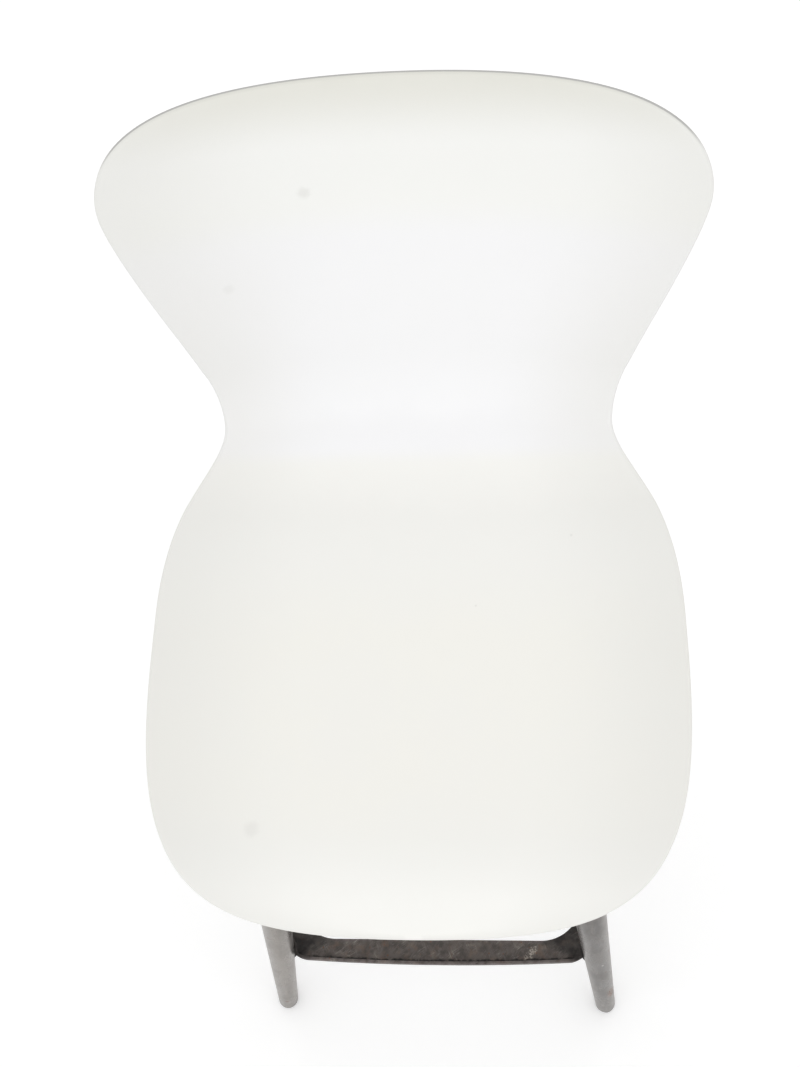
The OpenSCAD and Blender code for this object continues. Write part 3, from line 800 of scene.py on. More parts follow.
def quartered(quarter: Sequence[Point]) -> np.ndarray:
    """Mirrors a quarter of an outline into the whole.

    Args:
        quarter: Points from the middle of the front side to the middle of the right side.

    Returns:
        Points right round, counter-clockwise, one row each.
    """
    first = np.array(quarter)
    back = first[::-1]
    turns = [first[:-1], back[:-1] * (1, -1), -first[:-1], back[:-1] * (-1, 1)]
    return np.concatenate(turns)


def rounded_square(half_x: float, half_y: float, radius: float, side: int, arc: int) -> np.ndarray:
    """Runs round a rectangle with rounded corners.

    Args:
        half_x: Half its width.
        half_y: Half its depth.
        radius: Radius of its corners.
        side: Steps in each half side.
        arc: Steps in each corner.

    Returns:
        Points, counter-clockwise from the middle of the front side.
    """
    x, y = half_x - radius, half_y - radius
    quarter = [(x * i / side, -half_y) for i in range(side)]
    quarter += [(x + radius * math.sin(a), -y - radius * math.cos(a))
                for a in (math.pi / 2 * i / arc for i in range(arc))]
    quarter += [(half_x, -y * (1 - i / side)) for i in range(side + 1)]
    return quartered(quarter)


@dataclass(frozen=True)
class Band:
    """Flat band between an outer and an inner outline that have matching points."""

    outer: Callable[[float], np.ndarray]
    inner: Callable[[float], np.ndarray]
    width: float
    firm: float = 0.4

    def at(self, inset: float) -> np.ndarray:
        """Outline at a distance in from the outer edge.

        Args:
            inset: That distance, from 0 to the width.

        Returns:
            Points, one row each.
        """
        near = self.width * self.firm
        if inset <= near:
            return self.outer(inset)
        if inset >= self.width - near:
            return self.inner(self.width - inset)
        share = (inset - near) / (self.width - 2 * near)
        return self.outer(near) * (1 - share) + self.inner(near) * share

    def ring(self, section: Sequence[Point], shift_y: float) -> tuple[np.ndarray, np.ndarray]:
        """Sweeps a closed section round the band.

        Args:
            section: Inset and height of each of its points.
            shift_y: How far back the whole is moved.

        Returns:
            The points and the faces.
        """
        rows = []
        for inset, height in section:
            flat = self.at(inset) + (0.0, shift_y)
            rows.append(np.column_stack([flat, np.full(len(flat), height)]))
        around, count = len(rows[0]), len(rows)
        number = np.arange(count * around).reshape(count, around)
        ahead, below = np.roll(number, -1, axis=1), np.roll(number, -1, axis=0)
        faces = np.stack([number, ahead, np.roll(below, -1, axis=1), below], -1).reshape(-1, 4)
        return np.concatenate(rows), faces


def softened(points: Sequence[Sequence[float]], radius: float, closed: bool = True,
             steps: int = 3) -> Profile:
    """Rounds the corners of a profile.

    Args:
        points: The profile's points, of two or three numbers each.
        radius: How far from a corner its round starts, less where a side is short.
        closed: Whether the last point joins the first.
        steps: Steps in each round.

    Returns:
        The profile with a short curve at each corner.
    """
    ring = [np.array(p, float) for p in points]
    out: Profile = []
    most = 0.45
    for i, here in enumerate(ring):
        if not closed and i in (0, len(ring) - 1):
            out.append(tuple(here))
            continue
        before, after = ring[i - 1], ring[(i + 1) % len(ring)]
        ends = []
        for way in (before - here, after - here):
            run = np.linalg.norm(way)
            ends.append(here + way / run * min(radius, run * most))
        start, end = ends
        for k in range(steps + 1):
            t = k / steps
            out.append(tuple(start * (1 - t) ** 2 + 2 * here * t * (1 - t) + end * t * t))
    return out


def linked(name: str, data: bpy.types.ID) -> Piece:
    """Makes an object of a mesh, a lamp or a camera, and links it to the scene."""
    piece = bpy.data.objects.new(name, data)
    bpy.context.scene.collection.objects.link(piece)
    return piece


def keep(piece: Piece, name: str, values: np.ndarray) -> None:
    """Keeps values on a piece's points, for its finish.

    Args:
        piece: The piece.
        name: Name that the finish reads them by.
        values: One number for each point, or one row of three.
    """
    kind, member = ("FLOAT_VECTOR", "vector") if values.ndim == 2 else ("FLOAT", "value")
    attribute = piece.data.attributes.new(name, kind, "POINT")
    attribute.data.foreach_set(member, values.astype(np.float32).ravel())


def mesh_piece(name: str, points: np.ndarray, faces: Sequence[Sequence[int]],
               material: Material, sharp: float = 50.0) -> Piece:
    """Makes a piece from points and faces, merged, closed and facing outwards.

    Args:
        name: The piece's name.
        points: Its points.
        faces: Its faces, as rows of point numbers.
        material: Its finish.
        sharp: Angle in degrees past which an edge stays sharp.

    Returns:
        The piece, at the origin.
    """
    mesh = bpy.data.meshes.new(name)
    mesh.from_pydata([tuple(p) for p in points], [], [tuple(f) for f in faces])
    mesh.materials.append(material)
    return finish_mesh(name, mesh, sharp)


def finish_mesh(name: str, mesh: bpy.types.Mesh, sharp: float) -> Piece:
    """Merges doubles, turns the faces out, smooths the shading and links the piece.

    Args:
        name: The piece's name.
        mesh: Its mesh.
        sharp: Angle in degrees past which an edge stays sharp.

    Returns:
        The piece, at the origin.
    """
    work = bmesh.new()
    work.from_mesh(mesh)
    bmesh.ops.remove_doubles(work, verts=work.verts, dist=MERGE_WITHIN)
    bmesh.ops.dissolve_degenerate(work, edges=work.edges, dist=SLIVER_UNDER)
    bmesh.ops.recalc_face_normals(work, faces=work.faces)
    for face in work.faces:
        face.smooth = True
    work.to_mesh(mesh)
    work.free()
    mesh.set_sharp_from_angle(angle=math.radians(sharp))
    return linked(name, mesh)


def seat_piece(piece: Piece, slot: Slot, *nodes: str) -> None:
    """Rides a finished piece on the stool and hides the nodes it stands for.

    Args:
        piece: The piece.
        slot: Its material slot in the record; not used.
        nodes: The nodes that it replaces.
    """
    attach(piece, BODY)
    if nodes:
        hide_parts(*nodes)
    stands_for = ", ".join(nodes) or "nothing"
    LOG.info("%s: %d faces, stands for %s", piece.name, len(piece.data.polygons), stands_for)


@dataclass(frozen=True)
class CornerSeat:
    """Where a piece sits: the rear right corner's point, and its axis, mirrored at each corner."""

    spread: Triple
    axis: Triple
    shift: Triple


class CornerTree:
    """Geometry Nodes tree that turns a profile about an axis and seats copies at the corners.

    The profile is the object's own mesh: a row of points whose x is the radius, y the share of a
    hexagon in the ring's outline, and z the place along the axis.
    """

    INPUTS = {"Steps": "Int", "Spread": "Vector", "Axis": "Vector", "Shift": "Vector",
              "Corner": "Int", "Material": "Material"}
    SIXTH = math.pi / 3
    PAST_CORNER = 1e-4
    OWN_OFFSET = (0.37, 0.23, 0.71)

    def __init__(self) -> None:
        """Builds the tree."""
        self.tree = bpy.data.node_groups.new("turned_at_corners", "GeometryNodeTree")
        self.sockets: dict[str, str] = {}
        face = self.tree.interface
        face.new_socket(name="Profile", in_out="INPUT", socket_type="NodeSocketGeometry")
        for name, kind in self.INPUTS.items():
            socket = face.new_socket(name=name, in_out="INPUT", socket_type="NodeSocket" + kind)
            self.sockets[name] = socket.identifier
        face.new_socket(name="Geometry", in_out="OUTPUT", socket_type="NodeSocketGeometry")
        g = Graph(self.tree)
        given = g.add("NodeGroupInput").outputs
        points, turn, chosen = self._seats(g, given)
        seats = g.put("GeometryNodeInstanceOnPoints", {
            "Points": points, "Selection": chosen, "Rotation": turn,
            "Instance": self._turned(g, given)})
        moved = g.put("GeometryNodeTransform", {"Geometry": seats, "Translation": given["Shift"]})
        real = g.put("GeometryNodeRealizeInstances", {0: moved})
        dress = {"Geometry": real, "Material": given["Material"]}
        g.wire(g.put("GeometryNodeSetMaterial", dress), g.add("NodeGroupOutput").inputs[0])

    def _turned(self, g: Graph, given: Any) -> Socket:
        """Turns the profile about z, one row of a grid for each of its points.

        Args:
            g: Graph of the tree.
            given: The tree's inputs by name.

        Returns:
            The turned shape, with its own coordinates kept on its points.
        """
        profile, steps = given["Profile"], given["Steps"]
        count = g.put("GeometryNodeAttributeDomainSize", {0: profile}, component="MESH")
        ring = g.plus(steps, 1.0)
        grid = g.put("GeometryNodeMeshGrid", {"Vertices X": count, "Vertices Y": ring}, "Mesh")
        index = g.add("GeometryNodeInputIndex").outputs[0]
        row = g.math("FLOOR", g.math("DIVIDE", g.plus(index, 0.5), ring))
        here = g.add("GeometryNodeInputPosition").outputs[0]
        point = g.put("GeometryNodeSampleIndex", {"Geometry": profile, "Value": here, "Index": row},
                      data_type="FLOAT_VECTOR", domain="POINT")
        x, hexagon, z = g.parts(point)
        step = g.minus(index, g.times(row, ring))
        angle = g.times(g.math("DIVIDE", step, steps), math.tau)
        within = g.math("FLOORED_MODULO", g.plus(angle, self.PAST_CORNER), self.SIXTH)
        leaning = g.math("COSINE", g.minus(within, self.SIXTH / 2))
        flat = g.math("DIVIDE", math.cos(self.SIXTH / 2), leaning)
        radius = g.times(x, g.plus(1.0, g.times(hexagon, g.minus(flat, 1.0))))
        place = g.joined(g.times(radius, g.math("COSINE", angle)),
                         g.times(radius, g.math("SINE", angle)), z)
        shaped = g.put("GeometryNodeSetPosition", {"Geometry": grid, "Position": place})
        offset = g.put("ShaderNodeVectorMath",
                       {0: self.OWN_OFFSET, "Scale": g.plus(given["Corner"], 2.0)},
                       operation="SCALE")
        own = {"Geometry": shaped, "Name": "own", "Value": g.vector("ADD", place, offset)}
        return g.put("GeometryNodeStoreNamedAttribute", own, data_type="FLOAT_VECTOR",
                     domain="POINT")

    def _seats(self, g: Graph, given: Any) -> tuple[Socket, Socket, Socket]:
        """Makes the corner points.

        Args:
            g: Graph of the tree.
            given: The tree's inputs by name.

        Returns:
            The points, the turn of each one's axis and the choice of corners.
        """
        x, y, z = g.parts(given["Spread"])
        size = {"Size X": g.times(x, 2.0), "Size Y": g.times(y, 2.0), "Vertices X": 2,
                "Vertices Y": 2}
        grid = g.put("GeometryNodeMeshGrid", size, "Mesh")
        side = g.vector("SIGN", g.add("GeometryNodeInputPosition").outputs[0])
        inward = g.vector("ADD", g.vector("MULTIPLY", side, (-1.0, -1.0, 0.0)), (0.0, 0.0, 1.0))
        turn = g.put("FunctionNodeAlignRotationToVector",
                     {"Vector": g.vector("MULTIPLY", inward, given["Axis"])}, axis="Z")
        lifted = {"Geometry": grid, "Offset": g.joined(0.0, 0.0, z)}
        index = g.add("GeometryNodeInputIndex").outputs[0]
        wanted = g.math("COMPARE", index, given["Corner"], 0.1)
        every = g.math("LESS_THAN", given["Corner"], -0.5)
        return g.put("GeometryNodeSetPosition", lifted), turn, g.most(wanted, every)

    def make(self, name: str, profile: Sequence[Sequence[float]], seat: CornerSeat,
             material: Material, corner: Corner = Corner.ALL, steps: int = 48,
             sharp: float = 35.0) -> Piece:
        """Runs the tree on a profile and keeps the result as a plain mesh.

        Args:
            name: The piece's name.
            profile: Radius, share of a hexagon and place along the axis of each point.
            seat: Where the copies sit.
            material: Their finish.
            corner: The one corner that gets the piece, or all of them.
            steps: Steps round the axis, a multiple of 6.
            sharp: Angle in degrees past which an edge stays sharp.

        Returns:
            The finished piece.
        """
        mesh = bpy.data.meshes.new(name + "_profile")
        edges = [(i, i + 1) for i in range(len(profile) - 1)]
        mesh.from_pydata([tuple(p) for p in profile], edges, [])
        holder = linked(name + "_profile", mesh)
        modifier = holder.modifiers.new("turned", "NODES")
        modifier.node_group = self.tree
        values = {"Steps": steps, "Spread": seat.spread, "Axis": seat.axis, "Shift": seat.shift,
                  "Corner": corner.value, "Material": material}
        for key, value in values.items():
            modifier[self.sockets[key]] = value
        graph = bpy.context.evaluated_depsgraph_get()
        result = bpy.data.meshes.new_from_object(
            holder.evaluated_get(graph), preserve_all_data_layers=True, depsgraph=graph)
        holder.modifiers.clear()
        bpy.data.objects.remove(holder)
        result.name = name
        return finish_mesh(name, result, sharp)


@dataclass(frozen=True)
class Stance:
    """Where the legs stand, how they lean and how the footrest and the frame hang on them."""

    shift_y: float
    foot_x: float = 0.219
    foot_y: float = 0.222
    splay_x: float = math.radians(6.4)
    splay_y: float = math.radians(6.8)
    foot_d: float = 0.0265
    top_d: float = 0.040
    wall: float = 0.002
    end_gap: float = 0.005
    frame_top: float = 0.724
    pad_t: float = 0.005
    pad_d: float = 0.052
    collar_t: float = 0.003
    tread_z: float = 0.260
    tread_t: float = 0.004
    tab_drop: float = 0.017
    saddle_t: float = 0.006

    @property
    def tilt(self) -> float:
        """Lean of a leg from upright, in its own plane."""
        return math.atan(math.hypot(math.tan(self.splay_x), math.tan(self.splay_y)))

    @property
    def heading(self) -> float:
        """Heading of that plane from the x axis."""
        return math.atan2(math.tan(self.splay_y), math.tan(self.splay_x))

    @property
    def pad_at(self) -> float:
        """Distance up the leg's line to the top of the frame's pad."""
        return self.frame_top / math.cos(self.tilt) + self.pad_d / 2 * math.tan(self.tilt) / 2

    @property
    def length(self) -> float:
        """Length of the leg's line up to the bush's collar."""
        return self.pad_at - self.pad_t - self.collar_t

    @property
    def tab_at(self) -> float:
        """Distance up the leg's line to the footrest's screw."""
        return (self.tread_z - self.tread_t) / math.cos(self.tilt) - self.tab_drop

    def radius(self, along: float) -> float:
        """Outer radius of the leg at a distance along its line."""
        return (self.foot_d + (self.top_d - self.foot_d) * along / self.length) / 2

    def leg_x(self, z: float) -> float:
        """Sideways distance of the leg's line at a height."""
        return self.foot_x - z * math.tan(self.splay_x)

    def leg_y(self, z: float) -> float:
        """Distance to the front or back of the leg's line at a height."""
        return self.foot_y - z * math.tan(self.splay_y)

    def headed(self, out: float, up: float) -> Triple:
        """Axis that goes a way out in the leg's plane and a way up."""
        return out * math.cos(self.heading), out * math.sin(self.heading), up

    def on_leg(self) -> CornerSeat:
        """Seat on the leg's own line, from the floor."""
        axis = self.headed(math.sin(self.tilt), math.cos(self.tilt))
        return CornerSeat((self.foot_x, self.foot_y, 0.0), axis, (0.0, self.shift_y, 0.0))

    def on_tab(self) -> CornerSeat:
        """Seat on the footrest screw's line, from the leg's middle inwards."""
        z = self.tab_at * math.cos(self.tilt)
        axis = self.headed(math.cos(self.tilt), -math.sin(self.tilt))
        return CornerSeat((self.leg_x(z), self.leg_y(z), z), axis, (0.0, self.shift_y, 0.0))

    def upright(self, x: float, y: float) -> CornerSeat:
        """Seat on four upright lines."""
        return CornerSeat((x, y, 0.0), (0.0, 0.0, 1.0), (0.0, self.shift_y, 0.0))


@dataclass
class SeatShell:
    """One-piece shell: a flat outline bent along a profile of arcs and dished across."""

    shift_y: float = 0.0
    front_reach: float = 0.236
    crest: float = 0.746
    thickness: float = 0.006
    stretches: tuple[Point, ...] = ((0.0799, -39.0), (0.315, 2.0), (0.178, 79.0), (0.212, 0.0),
                                    (0.0648, -20.0))
    lip_angle: float = 37.0
    stations: tuple[float, ...] = (0.287, 0.495, 0.759)
    widths: tuple[float, ...] = (0.488, 0.372, 0.4922)
    fullness: tuple[Point, ...] = ((0.91, 0.77), (0.61, 0.24), (0.28, 0.15), (0.59, 0.81))
    dishes: tuple[Point, ...] = ((0.0, 0.008), (0.255, 0.012), (0.637, 0.043), (0.850, 0.029))
    dish_half: float = 0.240
    columns: int = 96
    rows: int = 144
    rim_steps: int = 8
    search_steps: int = 30
    short_of_tip: float = 0.99999
    sharp: float = 60.0
    smudges: tuple[Patch, ...] = (
        Patch((-0.0800, 0.7534, 0.0), 0.0052, 0.62), Patch((-0.1570, 0.6656, 0.0), 0.0045, 0.30),
        Patch((-0.1395, 0.0902, 0.0), 0.0064, 0.42), Patch((0.1456, 0.3675, 0.0), 0.0012, 0.60),
        Patch((0.0548, 0.2987, 0.0), 0.0010, 0.60))

    @property
    def length(self) -> float:
        """Length of the profile."""
        return sum(run for run, _ in self.stretches)

    @property
    def edge(self) -> float:
        """Radius of the rim's half round."""
        return self.thickness / 2

    @staticmethod
    def advance(heading: float, bend: float, run: Any) -> tuple[Any, Any]:
        """Follows an arc, or a straight line where nothing bends.

        Args:
            heading: Heading at its start.
            bend: Turn in radians per metre.
            run: How far it is followed.

        Returns:
            How far that goes back and up.
        """
        if bend == 0:
            return run * math.cos(heading), run * math.sin(heading)
        end = heading + bend * run
        return (np.sin(end) - math.sin(heading)) / bend, (math.cos(heading) - np.cos(end)) / bend

    def station(self, along: np.ndarray) -> tuple[np.ndarray, np.ndarray, np.ndarray]:
        """Follows the profile.

        Args:
            along: Distances from the front edge.

        Returns:
            The y, the z and the heading there.
        """
        lip, turn = self.stretches[0][0], math.radians(-self.stretches[0][1])
        heading, start = math.radians(self.lip_angle), 0.0
        y, z = -self.front_reach, self.crest - lip / turn * (1 - math.cos(heading))
        ys, zs, hs = (np.zeros_like(along) for _ in range(3))
        for i, (run, degrees) in enumerate(self.stretches):
            bend = math.radians(degrees) / run
            last = i == len(self.stretches) - 1
            here = (along >= start if i else along > -1) & ((along < start + run) | last)
            step = along[here] - start
            back, up = self.advance(heading, bend, step)
            ys[here], zs[here], hs[here] = y + back, z + up, heading + bend * step
            back, up = self.advance(heading, bend, run)
            y, z, heading, start = y + back, z + up, heading + bend * run, start + run
        return ys, zs, hs

    def centre(self) -> None:
        """Moves the shell so that its front and rear edges lie equally far from the origin."""
        ends = self.station(np.array([self.edge, self.length - self.edge]))[0]
        self.shift_y = -float(ends.mean())

    def dish(self, along: np.ndarray) -> np.ndarray:
        """Depth of the cross curve at distances along the shell."""
        depth = np.full_like(along, self.dishes[0][1])
        for (start, low), (end, high) in zip(self.dishes, self.dishes[1:]):
            t = np.clip((along - start) / (end - start), 0, 1)
            depth += (high - low) * t * t * (3 - 2 * t)
        return depth

    def middle(self, across: np.ndarray, along: np.ndarray) -> np.ndarray:
        """Points of the wall's middle surface."""
        y, z, heading = self.station(along)
        rise = self.dish(along) * (across / self.dish_half) ** 2
        y, z = y - rise * np.sin(heading) + self.shift_y, z + rise * np.cos(heading)
        return np.stack([across, y, z], -1)

    def normal(self, across: np.ndarray, along: np.ndarray, step: float = 5e-4) -> np.ndarray:
        """Unit normals of the middle surface, towards the sitter."""
        side = self.middle(across + step, along) - self.middle(across - step, along)
        up = self.middle(across, along + step) - self.middle(across, along - step)
        out = np.cross(side, up)
        return out / np.linalg.norm(out, axis=-1, keepdims=True)

    def half_width(self, along: np.ndarray) -> np.ndarray:
        """Half widths of the rim's centre line at distances along the shell."""
        ends = (self.edge, *self.stations, self.length - self.edge)
        halves = (0.0, *(w / 2 - self.edge for w in self.widths), 0.0)
        out = np.zeros_like(along)
        for i, (first, last) in enumerate(self.fullness):
            s0, s1, w0, w1 = ends[i], ends[i + 1], halves[i], halves[i + 1]
            from_edge, to_edge = i == 0, i == len(self.fullness) - 1
            run, rise = s1 - s0, w1 - w0
            s = (s0, s0 + (0 if from_edge else first * run), s1 - (0 if to_edge else last * run),
                 s1)
            w = (w0, w0 + (first * rise if from_edge else 0), w1 - (last * rise if to_edge else 0),
                 w1)
            here = (along >= s0) & (along <= s1)
            low, high = np.zeros(here.sum()), np.ones(here.sum())
            for _ in range(self.search_steps):
                u = (low + high) / 2
                short = self.cubic(s, u) < along[here]
                low, high = np.where(short, u, low), np.where(short, high, u)
            out[here] = self.cubic(w, (low + high) / 2)
        return out

    @staticmethod
    def cubic(p: Sequence[float], u: np.ndarray) -> np.ndarray:
        """Value of a cubic curve with four control values."""
        v = 1 - u
        return p[0] * v ** 3 + 3 * p[1] * u * v ** 2 + 3 * p[2] * u * u * v + p[3] * u ** 3

    def lie(self) -> tuple[np.ndarray, np.ndarray]:
        """Lays a square grid over the outline.

        Returns:
            The distances across and along the flat shell of the grid's points.
        """
        a, b = np.meshgrid(np.linspace(-1, 1, self.columns + 1),
                           np.linspace(-1, 1, self.rows + 1))
        p, q = a * np.sqrt(1 - b * b / 2), b * np.sqrt(1 - a * a / 2)
        inner = np.clip(q, -self.short_of_tip, self.short_of_tip)
        along = self.edge + (inner + 1) / 2 * (self.length - 2 * self.edge)
        half = self.half_width(along.ravel()).reshape(along.shape)
        across = p * half / np.sqrt(1 - inner * inner)
        return across.ravel(), along.ravel()

    def build(self, material: Material) -> None:
        """Makes the closed shell with its half-round rim.

        Args:
            material: Its finish.
        """
        across, along = self.lie()
        mids, normals = self.middle(across, along), self.normal(across, along)
        wide, total = self.columns + 1, len(across)
        numbers = np.arange(total).reshape(self.rows + 1, wide)
        rim = np.concatenate([numbers[0, :-1], numbers[:-1, -1], numbers[-1, :0:-1],
                              numbers[:0:-1, 0]])
        run = mids[np.roll(rim, -1)] - mids[np.roll(rim, 1)]
        outward = np.cross(run, normals[rim])
        outward /= np.linalg.norm(outward, axis=-1, keepdims=True)
        rings = [rim]
        points = [mids + self.edge * normals, mids - self.edge * normals]
        for m in range(1, self.rim_steps):
            turn = math.pi / 2 - math.pi * m / self.rim_steps
            out = math.cos(turn) * outward + math.sin(turn) * normals[rim]
            points.append(mids[rim] + self.edge * out)
            rings.append(np.arange(len(rim)) + 2 * total + (m - 1) * len(rim))
        rings.append(rim + total)
        corner = numbers[:-1, :-1].ravel()
        top = np.stack([corner, corner + wide, corner + wide + 1, corner + 1], -1)
        faces = [top[:, ::-1], top + total]
        for first, second in zip(rings, rings[1:]):
            faces.append(np.stack([first, np.roll(first, -1), np.roll(second, -1), second], -1))
        piece = mesh_piece("seat_shell_moulding", np.concatenate(points), np.concatenate(faces),
                           material, self.sharp)
        self.mark(piece, across, along, rim)
        seat_piece(piece, Slot.SHELL, "seat_shell")

    def mark(self, piece: Piece, across: np.ndarray, along: np.ndarray,
             rim: np.ndarray) -> None:
        """Keeps the flat shell's coordinates on the points, for the finish.

        Args:
            piece: The shell.
            across: Distances across of the grid's points.
            along: Distances along of the grid's points.
            rim: Numbers of the points on the rim.
        """
        rounds = np.arange(1, self.rim_steps)
        x = np.concatenate([across, across] + [across[rim]] * len(rounds))
        s = np.concatenate([along, along] + [along[rim]] * len(rounds))
        turned = np.repeat(rounds / self.rim_steps, len(rim))
        side = np.concatenate([np.zeros(len(across)), np.ones(len(across)), turned])
        middle = (self.length - 2 * self.edge) / 2
        half = np.maximum(self.half_width(s), MERGE_WITHIN)
        ends = (s - self.edge - middle) / middle
        keep(piece, "lie", np.stack([x, s, side], -1))
        keep(piece, "reach", np.stack([x / half, ends, side], -1))


@dataclass
class Legs:
    """Four tapered tubes with rounded feet, and the bolts at their tops.

    A bolt head is head_h high and head_w across its flats, in thread diameters. Each point of head
    holds its radius to the corners', its share of a hexagon, its height to the head's, and metres
    over that.
    """

    stance: Stance
    end_round: float = 0.0016
    bolt_d: float = 0.010
    grip: float = 0.022
    washer_t: float = 0.0022
    head_h: float = 0.64
    head_w: float = 1.7
    point: Point = (0.0008, 0.001)
    head: tuple[tuple[float, ...], ...] = (
        (0.84, 0, 0, 0), (0.86, 0, 0, 0.0003), (1, 1, 0, 0.0003), (1, 1, 0.72, 0), (0.86, 0, 1, 0),
        (0.45, 0, 1, 0), (0, 0, 1, 0))
    round_steps: int = 6
    runs: int = 12
    patina: dict[Corner, float] = field(default_factory=lambda: {
        Corner.FRONT_LEFT: 0.0, Corner.REAR_LEFT: 0.4, Corner.FRONT_RIGHT: 0.9,
        Corner.REAR_RIGHT: 0.5})

    def build(self, tree: CornerTree, steel: Material, zinc: Material) -> None:
        """Makes the legs and their bolts.

        Args:
            tree: The corner tree.
            steel: Finish of the legs.
            zinc: Finish of the bolts.
        """
        for corner, share in self.patina.items():
            node = "leg_" + corner.name.lower()
            piece = tree.make(node + "_tube", self.tube(), self.stance.on_leg(), steel, corner,
                              steps=72, sharp=50.0)
            keep(piece, "patina", np.full(len(piece.data.vertices), share))
            seat_piece(piece, Slot.LEG, node)
        bolts = tree.make("leg_bolt_set", self.bolt(), self.stance.on_leg(), zinc)
        seat_piece(bolts, Slot.ZINC, "leg_bolts")

    def tube(self) -> Profile:
        """Closed section of a leg from its foot to its top and back down the bore."""
        st = self.stance
        foot, top = st.radius(st.end_gap), st.top_d / 2
        turns = (math.pi / 2 * (1 - k / self.round_steps) for k in range(self.round_steps + 1))
        outer = [(foot - self.end_round * (1 - math.cos(a)), 0.0,
                  st.end_gap + self.end_round * (1 - math.sin(a))) for a in turns]
        start = st.end_gap + self.end_round
        levels = (start + (st.length - st.end_gap - self.end_round) * k / self.runs
                  for k in range(1, self.runs + 1))
        climb = [(st.radius(z), 0.0, z) for z in levels]
        bore = [(top - st.wall, 0.0, st.length), (foot - st.wall, 0.0, st.end_gap)]
        return outer + climb + bore + outer[:1]

    def bolt(self) -> Profile:
        """Hexagon head and shank, from the tip up."""
        st, shank, high = self.stance, self.bolt_d / 2, self.head_h * self.bolt_d
        corner = self.head_w * self.bolt_d / math.cos(math.pi / 6) / 2
        seat, tip = st.pad_at + self.washer_t, st.pad_at - st.pad_t - self.grip
        head = [(corner * r, hexagon, seat + high * up + more)
                for r, hexagon, up, more in self.head]
        return [(0, 0, tip), (shank - self.point[0], 0, tip), (shank, 0, tip + self.point[1]),
                (shank, 0, seat), *head]


